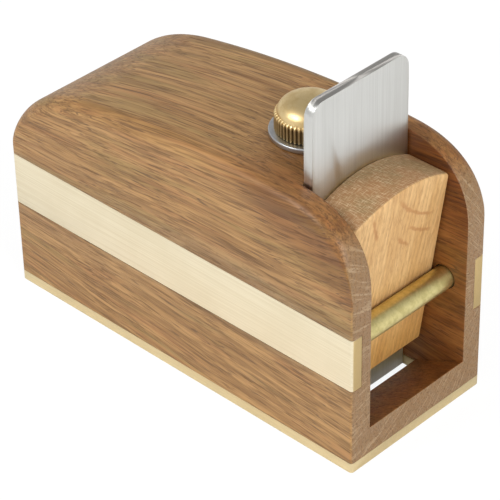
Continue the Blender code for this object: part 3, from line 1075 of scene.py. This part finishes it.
@dataclass
class OakBlock:
    """The oak body with its throat, rebates, pin hole and adjuster cavity."""

    finishes: FinishSet
    crown_x: float = 27.4
    crown_radius: float = 336.0
    heel_run: float = 28.0
    heel_drop: float = 15.6
    heel_power: float = 2.1
    toe_run: float = 25.0
    toe_drop: float = 22.0
    toe_power: float = 2.65
    heel_shoulder: float = 5.0
    toe_shoulder: float = 3.0
    corner_radius: float = 0.9
    throat_half_width: float = 18.1
    bed_x: float = 39.0
    ramp_foot_x: float = 45.8
    ramp_toe_z: float = 11.2
    channel_back_x: float = 18.5
    channel_half_width: float = 6.0
    edge_break: float = 0.22
    glue_gap: float = 0.1
    run_gap: float = 0.3
    overcut: float = 2.0
    near: float = 0.05
    bed_clear: float = 0.5
    ramp_clear: float = 4.0
    top_reach: float = 0.4
    shoulder_steps: int = 12
    shoulder_run_in: float = 0.6
    least_step: float = 0.03
    box: Box = field(default_factory=lambda: Box.of("body"))

    @staticmethod
    def run_out(share: float, power: float) -> float:
        """How far a superellipse has dropped, from 0 at share 0 to 1 at share 1."""
        share = min(max(share, 0.0), 1.0)
        return 1.0 - (1.0 - share ** power) ** (1.0 / power)

    def top_height(self, x: float) -> float:
        """Height of the block's top along its middle.

        Args:
            x: The station, in millimetres.

        Returns:
            The height, in millimetres.
        """
        height = self.box.high.z - (x - self.crown_x) ** 2 / (2.0 * self.crown_radius)
        heel = (self.box.low.x + self.heel_run - x) / self.heel_run
        toe = (x - self.box.high.x + self.toe_run) / self.toe_run
        height -= self.heel_drop * self.run_out(heel, self.heel_power)
        height -= self.toe_drop * self.run_out(toe, self.toe_power)
        return height

    def section(self, x: float) -> list[Point]:
        """The block's outline at one station.

        Args:
            x: The station, in millimetres.

        Returns:
            The closed ring of points.
        """
        rim = self.box.high.x - self.corner_radius
        inside = max(abs(x) - rim, 0.0)
        width = self.box.high.y - self.corner_radius
        width += math.sqrt(max(self.corner_radius ** 2 - inside ** 2, 0.0))
        share = (x - self.box.low.x) / self.box.size.x
        radius = self.heel_shoulder + (self.toe_shoulder - self.heel_shoulder) * share
        top = self.top_height(x)
        run_in = self.shoulder_run_in
        left = [(width, self.box.low.z), (width, top - radius - run_in)]
        left += arc((width - radius, top - radius), radius, 0, 90, self.shoulder_steps)
        left += [(width - radius - run_in, top)]
        right = [(-y, z) for y, z in reversed(left)]
        return [(x, y, z) for y, z in left + right]

    def stations(self) -> list[float]:
        """Stations along X, close together where heel, toe and corners turn."""
        turn_steps, middle_steps, corner_steps = 34, 40, 6
        low, high = self.box.low.x, self.box.high.x
        found: set[float] = set()
        for index in range(turn_steps + 1):
            sine = math.sin(0.5 * math.pi * index / turn_steps)
            found.add(round(low + self.heel_run * (1.0 - sine ** (2.0 / self.heel_power)), 3))
            found.add(round(high - self.toe_run * (1.0 - sine ** (2.0 / self.toe_power)), 3))
        for index in range(corner_steps + 1):
            inset = self.corner_radius * (1.0 - math.sin(0.5 * math.pi * index / corner_steps))
            found.update((round(high - inset, 3), round(low + inset, 3)))
        span = self.box.size.x - self.heel_run - self.toe_run
        found.update(round(low + self.heel_run + span * i / middle_steps, 3) for i in range(middle_steps))
        ordered = sorted(found)
        kept = [ordered[0]]
        for x in ordered[1:]:
            if x - kept[-1] > self.least_step:
                kept.append(x)
        kept[-1] = high
        return kept

    def cutters(self) -> list[bmesh.types.BMesh]:
        """Everything that is cut out of the block, in the order of cutting."""
        over = self.overcut
        beyond = self.box.high.x + over
        top = self.box.high.z + over
        slope = (self.ramp_toe_z - self.box.low.z) / (self.box.high.x - self.ramp_foot_x)
        throat = [(self.bed_x, -over), (self.ramp_foot_x, -over), (self.ramp_foot_x, self.box.low.z),
                  (beyond, self.ramp_toe_z + slope * over), (beyond, top), (self.bed_x, top)]
        shapes = [prism(throat, -self.throat_half_width, self.throat_half_width, "Y")]
        strip = Box.of("inlay_left")
        inner = strip.low.y - self.glue_gap
        outer = self.box.high.y + over
        for near, far in ((inner, outer), (-outer, -inner)):
            shapes.append(block((-beyond, near, strip.low.z - self.glue_gap),
                                (beyond, far, strip.high.z + self.glue_gap)))
        pin = Box.of("cross_pin")
        hole = pin.size.z / 2.0 + self.run_gap
        reach = pin.high.y + 1.0
        shapes.append(turned([(hole, -reach), (hole, reach)], (pin.middle.x, 0, pin.middle.z), "Y", 72))
        return shapes + self.adjuster_cutters(top)

    def adjuster_cutters(self, top: float) -> list[bmesh.types.BMesh]:
        """The channel for the nut block and the bore for the bushes.

        Args:
            top: Where the bore ends, clear of the block, in millimetres.

        Returns:
            The two shapes.
        """
        upper, lower = Box.of("upper_bush"), Box.of("lower_bush")
        floor = lower.high.z + self.glue_gap
        ceiling = upper.low.z + self.glue_gap
        channel = block((self.channel_back_x, -self.channel_half_width, floor),
                        (self.bed_x + self.overcut, self.channel_half_width, ceiling))
        wide = upper.size.x / 2.0 + self.glue_gap
        thin = lower.size.x / 2.0 + self.glue_gap
        middle = (floor + ceiling) / 2.0
        bore = [(thin, lower.low.z - self.glue_gap), (thin, middle), (wide, middle), (wide, top)]
        return [channel, turned(bore, (upper.middle.x, 0, 0))]

    def is_open_edge(self, start: Vector, end: Vector) -> bool:
        """Whether an edge is one of the throat's, at its top or at the toe.

        Args:
            start: One end of the edge, in millimetres.
            end: The other end.

        Returns:
            Whether it is.
        """
        half, near = self.throat_half_width, self.near

        def on_cheek(spot: Vector) -> bool:
            """Whether a corner lies on a cheek's inner face, clear of the bed and the ramp."""
            past_bed = spot.x > self.bed_x + self.bed_clear
            past_ramp = spot.z > self.box.low.z + self.ramp_clear
            return abs(abs(spot.y) - half) < near and past_bed and past_ramp

        def on_toe(spot: Vector) -> bool:
            """Whether a corner lies on the toe, at the throat."""
            return abs(spot.x - self.box.high.x) < near and abs(spot.y) < half + near

        top_run = on_cheek(start) and on_cheek(end) and min(
            abs(spot.z - self.top_height(spot.x)) for spot in (start, end)) < self.top_reach
        return top_run or (on_toe(start) and on_toe(end))

    def build(self) -> None:
        """Make the block and hand it over."""
        piece = from_shape("oak_body", loft([self.section(x) for x in self.stations()]))
        carve(piece, self.cutters())
        soften(piece, self.edge_break, 2, 35.0, self.is_open_edge)
        hand_over(piece, self.finishes.smoked_oak, "plane_body", ["body"])


# ---------------------------------------------------------------------------------------------
# Brass
# ---------------------------------------------------------------------------------------------

@dataclass
class BrassWork:
    """Sole plate, side strips, sole screws and cross pin."""

    finishes: FinishSet
    corner_radius: float = 0.9
    edge_break: float = 0.12
    mouth_back_x: float = 38.8
    mouth_front_x: float = 45.8
    mouth_half_width: float = 17.75
    head_radius: float = 3.2
    shank_radius: float = 1.6
    head_sink: float = 1.7
    slot_half_width: float = 0.4
    slot_depth: float = 0.8
    glue_gap: float = 0.1
    pin_chamfer: float = 0.4
    corner_steps: int = 8
    overcut: float = 2.0
    head_clearance: float = 0.05
    shank_start_share: float = 0.9
    shank_tip: float = 0.4
    slot_length: float = 12.0
    screw_nodes: tuple[str, ...] = tuple(f"sole_screw_{number}" for number in range(1, 7))

    def screw_spots(self) -> list[tuple[float, float]]:
        """Centres of the sole screws."""
        return [tuple(Box.of(node).middle.xy) for node in self.screw_nodes]

    def build_sole(self) -> None:
        """The plate with its mouth and countersinks."""
        box = Box.of("sole_plate")
        outline = []
        for sign_x, sign_y, start in ((1, 1, 0), (-1, 1, 90), (-1, -1, 180), (1, -1, 270)):
            centre = (sign_x * (box.high.x - self.corner_radius),
                      sign_y * (box.high.y - self.corner_radius))
            outline += arc(centre, self.corner_radius, start, start + 90, self.corner_steps)
        piece = from_shape("brass_sole", prism(outline, box.low.z, box.high.z, "Z"))
        mouth = block((self.mouth_back_x, -self.mouth_half_width, box.low.z - self.overcut),
                      (self.mouth_front_x, self.mouth_half_width, box.high.z + self.overcut))
        head = self.head_radius + self.glue_gap
        shank = self.shank_radius + self.glue_gap
        sink = [(head + 1.0, -1.0), (head, 0.0), (shank, self.head_sink),
                (shank, box.high.z + self.overcut)]
        carve(piece, [mouth] + [turned(sink, (*spot, 0), sides=48) for spot in self.screw_spots()])
        soften(piece, self.edge_break, 2, 50.0)
        hand_over(piece, self.finishes.sole_brass, "plane_body", ["sole_plate"])

    def build_inlays(self) -> None:
        """The strips let into both sides, as long as the block."""
        for node in ("inlay_left", "inlay_right"):
            box = Box.of(node)
            sign = math.copysign(1.0, box.middle.y)
            outer = max(abs(box.low.y), abs(box.high.y))
            inner = min(abs(box.low.y), abs(box.high.y))
            end = box.high.x - self.corner_radius
            side = outer - self.corner_radius
            outline = [(box.low.x, inner), (box.high.x, inner)]
            outline += arc((end, side), self.corner_radius, 0, 90, self.corner_steps)
            outline += arc((-end, side), self.corner_radius, 90, 180, self.corner_steps)
            outline = [(x, sign * y) for x, y in outline]
            piece = from_shape(f"brass_{node}", prism(outline, box.low.z, box.high.z, "Z"))
            soften(piece, self.edge_break, 2, 50.0)
            hand_over(piece, self.finishes.inlay_brass, "plane_body", [node])

    def build_screws(self) -> None:
        """The slotted sole screws, grown on their six centres."""
        box = Box.of(self.screw_nodes[0])
        tree = GrowthTree("brass_sole_screws", {
            "Head Radius": self.head_radius - self.head_clearance,
            "Shank Radius": self.shank_radius, "Sink": self.head_sink, "Length": box.size.z,
            "Slot Width": 2.0 * self.slot_half_width, "Slot Depth": self.slot_depth, "Sides": 32})
        sides, sink, length = tree.size("Sides"), tree.size("Sink"), tree.size("Length")
        start = sink * self.shank_start_share
        head = tree.out("GeometryNodeMeshCone", None, {
            "Vertices": sides, "Radius Bottom": tree.size("Head Radius"),
            "Radius Top": tree.size("Shank Radius"), "Depth": sink}, "Mesh")
        shank = tree.out("GeometryNodeMeshCone", None, {
            "Vertices": sides, "Radius Bottom": tree.size("Shank Radius"), "Radius Top": self.shank_tip,
            "Depth": length - start}, "Mesh")
        shank = tree.out("GeometryNodeTransform", None, {
            "Geometry": shank, "Translation": tree.join(0.0, 0.0, start)})
        slot = tree.out("GeometryNodeMeshCube", None, {
            "Size": tree.join(self.slot_length, tree.size("Slot Width"),
                              tree.size("Slot Depth") * 2.0)}, "Mesh")
        whole = tree.out("GeometryNodeMeshBoolean", {"operation": "UNION"}, {"Mesh": head}, "Mesh")
        union = whole.socket.node
        tree.tree.links.new(shank.socket, union.inputs[1])
        cut = tree.out("GeometryNodeMeshBoolean", {"operation": "DIFFERENCE"},
                       {0: whole, 1: slot}, "Mesh")
        centres = tree.size("Geometry")
        result = tree.out("GeometryNodeInstanceOnPoints", None, {"Points": centres, "Instance": cut})
        seed = bpy.data.meshes.new("screw_centres")
        seed.from_pydata([(*spot, 0.0) for spot in self.screw_spots()], [], [])
        piece = tree.grow(result, self.finishes.turned_brass, (0.0, 0.0, box.low.z), seed)
        hand_over(piece, self.finishes.turned_brass, "plane_body", self.screw_nodes)

    def build_pin(self) -> None:
        """The rod across the cheeks, chamfered at its hidden ends."""
        box = Box.of("cross_pin")
        radius, half = box.size.z / 2.0, box.size.y / 2.0
        profile = [(radius - self.pin_chamfer, -half), (radius, self.pin_chamfer - half)]
        profile += [(radius, half - self.pin_chamfer), (radius - self.pin_chamfer, half)]
        piece = from_shape("brass_cross_pin", turned(profile, tuple(box.middle), "Y", 96))
        hand_over(piece, self.finishes.aged_brass, "cross_pin", ["cross_pin"])

    def build(self) -> None:
        """Make all the brass but the adjuster's."""
        self.build_sole()
        self.build_inlays()
        self.build_screws()
        self.build_pin()


# ---------------------------------------------------------------------------------------------
# Iron and wedge
# ---------------------------------------------------------------------------------------------

def slice_off(shape: bmesh.types.BMesh, point: Point, normal: Point) -> None:
    """Cut a closed shape with a plane, keep the side behind it and close the hole.

    Args:
        shape: The shape.
        point: A point of the plane.
        normal: The way that the plane looks.
    """
    geometry = shape.verts[:] + shape.edges[:] + shape.faces[:]
    result = bmesh.ops.bisect_plane(shape, geom=geometry, dist=1e-6, plane_co=point, plane_no=normal,
                                    clear_outer=True)
    edges = [item for item in result["geom_cut"] if isinstance(item, bmesh.types.BMEdge)]
    bmesh.ops.contextual_create(shape, geom=edges)


@dataclass
class Iron:
    """The upright iron with the nut block and dog that lift it."""

    finishes: FinishSet
    corner_radius: float = 4.0
    bevel_angle: float = 30.0
    land: float = 0.15
    dog_clearance: float = 0.2
    edge_break: float = 0.25
    sharp_reach: float = 8.0
    corner_steps: int = 14
    overcut: float = 2.0

    def build(self) -> None:
        """Make the iron and dress its nut block and dog."""
        box, dog = Box.of("blade"), Box.of("dog_pin")
        half, radius = box.size.y / 2.0, self.corner_radius
        outline = [(-half, box.low.z), (half, box.low.z)]
        outline += arc((half - radius, box.high.z - radius), radius, 0, 90, self.corner_steps)
        outline += arc((radius - half, box.high.z - radius), radius, 90, 180, self.corner_steps)
        shape = prism(outline, box.low.x, box.high.x, "X")
        tilt = math.radians(self.bevel_angle)
        heel = (box.high.x - self.land, 0.0, box.low.z)
        slice_off(shape, heel, (-math.cos(tilt), 0.0, -math.sin(tilt)))
        piece = from_shape("steel_blade", shape)
        hole = dog.size.z / 2.0 + self.dog_clearance
        ends = [(hole, box.low.x - self.overcut), (hole, box.high.x + self.overcut)]
        carve(piece, [turned(ends, (0.0, 0.0, dog.middle.z), "X", 64)])
        blunt_from = box.low.z + self.sharp_reach
        soften(piece, self.edge_break, 2, 50.0, lambda start, end: min(start.z, end.z) > blunt_from)
        hand_over(piece, self.finishes.blade_steel, "iron", ["blade"])
        dress_node("carriage", self.finishes.turned_brass)
        dress_node("dog_pin", self.finishes.zinc_steel)


@dataclass
class Wedge:
    """The oak wedge: upright back, raked front and a top arched across its width."""

    finishes: FinishSet
    foot_front_x: float = 47.8
    arch_radius: float = 36.0
    taper: float = 8.4
    edge_break: float = 0.9
    arch_steps: int = 40
    spare: float = 4.0

    def build(self) -> None:
        """Make the wedge and hand it over."""
        box = Box.of("wedge")
        half = box.high.y
        spread = math.degrees(math.asin(half / self.arch_radius))
        outline = [(-half, box.low.z), (half, box.low.z)]
        outline += arc((0.0, box.high.z - self.arch_radius), self.arch_radius, 90 - spread,
                       90 + spread, self.arch_steps)
        shape = prism(outline, box.low.x, box.high.x + self.spare, "X")
        tilt = math.radians(self.taper)
        slice_off(shape, (self.foot_front_x, 0.0, box.low.z), (math.cos(tilt), 0.0, -math.sin(tilt)))
        piece = from_shape("oak_wedge", shape)
        soften(piece, self.edge_break, 4)
        hand_over(piece, self.finishes.light_oak, "wedge", ["wedge"])


# ---------------------------------------------------------------------------------------------
# Adjuster
# ---------------------------------------------------------------------------------------------

@dataclass
class Adjuster:
    """The fluted knob, its screw and the rings round it."""

    finishes: FinishSet
    flutes: int = 50
    flute_depth: float = 0.5
    flute_steepness: float = 1.6
    flute_level: float = 0.75
    band_height: float = 4.8
    dome_height: float = 4.3
    dome_radius: float = 8.35
    shoulder: float = 0.8
    foot_chamfer: float = 0.15
    bore_radius: float = 3.0
    foot_share: float = 0.06
    band_share: float = 0.44
    steps_per_flute: int = 12
    washer_clearance: float = 0.2
    washer_rim: float = 0.35
    end_share: float = 0.004
    thread_pitch: float = 1.0
    thread_depth: float = 0.5
    threaded_from: float = 16.0
    threaded_to: float = 52.0

    def build_knob(self) -> None:
        """The knob: one sheet wrapped round its axis, with flutes that run out in the dome."""
        box = Box.of("adjuster_knob")
        tree = GrowthTree("brass_knob", {
            "Radius": box.size.x / 2.0, "Flute Depth": self.flute_depth, "Flutes": self.flutes,
            "Band Height": self.band_height, "Dome Radius": self.dome_radius,
            "Dome Height": self.dome_height, "Shoulder": self.shoulder,
            "Foot Chamfer": self.foot_chamfer, "Bore Radius": self.bore_radius,
            "Around": self.flutes * self.steps_per_flute + 1, "Rows": 60})
        grid, u, v = tree.sheet(tree.size("Around"), tree.size("Rows"))
        angle = u * math.tau
        root = tree.size("Radius") - tree.size("Flute Depth")
        dome_from = self.foot_share + self.band_share
        base = tree.clamp(v / self.foot_share)
        climb = tree.clamp((v - self.foot_share) / self.band_share)
        crown = tree.clamp((v - dome_from) / (1.0 - dome_from))
        height = climb * tree.size("Band Height")
        foot = tree.clamp(1.0 - height / tree.size("Foot Chamfer"))
        turn_in = tree.clamp(1.0 - (tree.size("Band Height") - height) / tree.size("Shoulder"))
        fall = 1.0 - tree.math("SQRT", tree.clamp(1.0 - turn_in * turn_in))
        ripple = tree.math("COSINE", angle * tree.size("Flutes"))
        wave = tree.clamp(ripple * self.flute_steepness + self.flute_level)
        crest = root + wave * tree.size("Flute Depth") - foot * tree.size("Foot Chamfer")
        band = crest + (tree.size("Dome Radius") - crest) * fall
        dome = tree.math("COSINE", crown * (math.pi / 2))
        rise = tree.math("SINE", crown * (math.pi / 2))
        radius = (tree.size("Bore Radius") + (band - tree.size("Bore Radius")) * base) * dome
        result = tree.wrap(grid, angle, radius, height + rise * tree.size("Dome Height"))
        piece = tree.grow(result, self.finishes.knob_brass, (box.middle.x, box.middle.y, box.low.z))
        hand_over(piece, self.finishes.knob_brass, "adjuster", ["adjuster_knob"])

    def build_screw(self) -> None:
        """The screw, with a left-hand thread along the stretch that the nut block uses."""
        box = Box.of("adjuster_screw")
        length = box.size.z
        tree = GrowthTree("steel_adjuster_screw", {
            "Radius": box.size.x / 2.0, "Length": length, "Pitch": self.thread_pitch,
            "Thread Depth": self.thread_depth, "Thread Start": self.threaded_from - box.low.z,
            "Thread End": self.threaded_to - box.low.z, "Around": 33, "Rows": 601})
        grid, u, v = tree.sheet(tree.size("Around"), tree.size("Rows"))
        angle = u * math.tau
        inner = tree.clamp((v - self.end_share) / (1.0 - 2.0 * self.end_share))
        height = inner * tree.size("Length")
        phase = tree.math("FRACT", height / tree.size("Pitch") + u)
        groove = abs(phase - 0.5) * 2.0
        on = tree.clamp(height - tree.size("Thread Start")) * tree.clamp(tree.size("Thread End") - height)
        shaft = tree.size("Radius") - groove * on * tree.size("Thread Depth")
        close = tree.clamp(v / self.end_share) * tree.clamp((1.0 - v) / self.end_share)
        result = tree.wrap(grid, angle, shaft * close, height)
        piece = tree.grow(result, self.finishes.zinc_steel, (box.middle.x, box.middle.y, box.low.z))
        hand_over(piece, self.finishes.zinc_steel, "adjuster", ["adjuster_screw"])

    def build_washer(self) -> None:
        """The washer under the knob, rounded at its rim."""
        box = Box.of("knob_washer")
        hole, rim = self.bore_radius + self.washer_clearance, box.size.x / 2.0
        axis = (box.middle.x, box.middle.y, 0.0)
        piece = from_shape("steel_washer", turned([(rim, box.low.z), (rim, box.high.z)], axis, "Z", 128))
        carve(piece, [turned([(hole, box.low.z - 1.0), (hole, box.high.z + 1.0)], axis, "Z", 64)])
        soften(piece, self.washer_rim, 3, 50.0)
        hand_over(piece, self.finishes.zinc_steel, "plane_body", ["knob_washer"])

    def build(self) -> None:
        """Make the adjuster and dress the rings that stay hidden in the block."""
        self.build_knob()
        self.build_screw()
        self.build_washer()
        for node in ("upper_bush", "lower_bush"):
            dress_node(node, self.finishes.turned_brass)
        for node in ("thrust_collar", "collar_set_screw"):
            dress_node(node, self.finishes.zinc_steel)


# ---------------------------------------------------------------------------------------------
# Studio
# ---------------------------------------------------------------------------------------------

@dataclass(frozen=True)
class SoftBox:
    """A square area light that points at the plane."""

    name: str
    place: Point
    side: float
    power: float

    def hang(self, aim: Vector) -> None:
        """Put the light in the scene.

        Args:
            aim: The point that it is turned to.
        """
        lamp = bpy.data.lights.new(self.name, "AREA")
        lamp.shape = "SQUARE"
        lamp.size = self.side
        lamp.energy = self.power
        thing = bpy.data.objects.new(self.name, lamp)
        thing.location = self.place
        thing.rotation_euler = (aim - Vector(self.place)).to_track_quat("-Z", "Y").to_euler()
        bpy.context.scene.collection.objects.link(thing)


@dataclass
class Studio:
    """Pale floor, soft light and the camera."""

    floor_side: float = 8.0
    floor_gap: float = 0.0001
    floor_tones: tuple[Colour, Colour] = ((0.88, 0.88, 0.88), (0.90, 0.90, 0.90))
    floor_white: float = 1.06
    floor_white_share: float = 0.85
    sky_low: float = 1.00
    sky_high: float = 0.42
    sky_climb: float = 1.8
    sky_bend: float = 0.6
    clip: tuple[float, float] = (0.01, 20.0)
    camera_place: Point = (0.377949, -0.379043, 0.410669)
    camera_turn: Point = (54.30937, 1.04305, 43.93742)
    lens: float = 178.156
    soft_boxes: tuple[SoftBox, ...] = (
        SoftBox("key_light", (-0.33, -0.80, 0.88), 0.5, 6.5),
        SoftBox("fill_light", (0.95, -0.15, 0.60), 0.6, 7.5),
    )

    def lay_floor(self) -> None:
        """A pale floor that looks nearly white, with only a faint shadow under the plane."""
        half = self.floor_side / 2.0
        mesh = bpy.data.meshes.new("studio_floor")
        corners = [(-half, -half), (half, -half), (half, half), (-half, half)]
        mesh.from_pydata([(x, y, -self.floor_gap) for x, y in corners], [], [(0, 1, 2, 3)])
        floor = put_in_scene("studio_floor", mesh)
        graph = ShaderGraph("studio_floor")
        tone = graph.mix(graph.noise(graph.place, 0.01), *self.floor_tones)
        lit = graph.out("ShaderNodeBsdfDiffuse", None, {"Color": tone})
        white = graph.out("ShaderNodeEmission", None, {"Strength": self.floor_white})
        seen = graph.out("ShaderNodeLightPath", key="Is Camera Ray")
        share = seen * self.floor_white_share
        shown = graph.out("ShaderNodeMixShader", None, {0: share, 1: lit, 2: white})
        graph.node("ShaderNodeOutputMaterial", None, {"Surface": shown})
        floor.data.materials.append(graph.material)
        floor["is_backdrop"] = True

    def light(self) -> None:
        """An even sky, a little dimmer overhead, and the soft boxes."""
        world = bpy.data.worlds.new("studio_sky")
        world.use_nodes = True
        graph = NodeGraph(world.node_tree)
        graph.tree.nodes.clear()
        source = graph.node("ShaderNodeTexCoord")
        _, _, up = graph.split(Signal(graph, source.outputs["Generated"]))
        level = graph.math("POWER", graph.clamp(up * self.sky_climb), self.sky_bend)
        strength = self.sky_low + level * (self.sky_high - self.sky_low)
        seen = graph.out("ShaderNodeLightPath", key="Is Camera Ray")
        white = (1.0, 1.0, 1.0)
        sky = graph.out("ShaderNodeBackground", None, {"Color": white, "Strength": strength})
        plain = graph.out("ShaderNodeBackground", None, {"Color": white, "Strength": 1.0})
        shown = graph.out("ShaderNodeMixShader", None, {0: seen, 1: sky, 2: plain})
        graph.node("ShaderNodeOutputWorld", None, {"Surface": shown})
        bpy.context.scene.world = world
        low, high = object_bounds()
        for soft_box in self.soft_boxes:
            soft_box.hang((low + high) / 2.0)

    def set_camera(self) -> None:
        """The camera, looking down on the toe and the right side."""
        data = bpy.data.cameras.new("camera")
        data.lens = self.lens
        data.clip_start, data.clip_end = self.clip
        camera = bpy.data.objects.new("camera", data)
        camera.location = self.camera_place
        camera.rotation_euler = Euler([math.radians(angle) for angle in self.camera_turn], "XYZ")
        bpy.context.scene.collection.objects.link(camera)
        bpy.context.scene.camera = camera

    def build(self) -> None:
        """Set up the studio."""
        self.lay_floor()
        self.light()
        self.set_camera()
        bpy.context.scene.view_settings.view_transform = "Standard"


def main() -> None:
    """Build every sub-assembly round the frame, then the studio."""
    logging.basicConfig(level=logging.INFO, format="%(name)s: %(message)s", stream=sys.stdout)
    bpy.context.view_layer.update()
    finishes = FinishSet.mixed(Box.of("adjuster_screw").middle.x)
    for assembly in (OakBlock, BrassWork, Iron, Wedge, Adjuster):
        assembly(finishes).build()
    Studio().build()


if __name__ == "__main__":
    main()
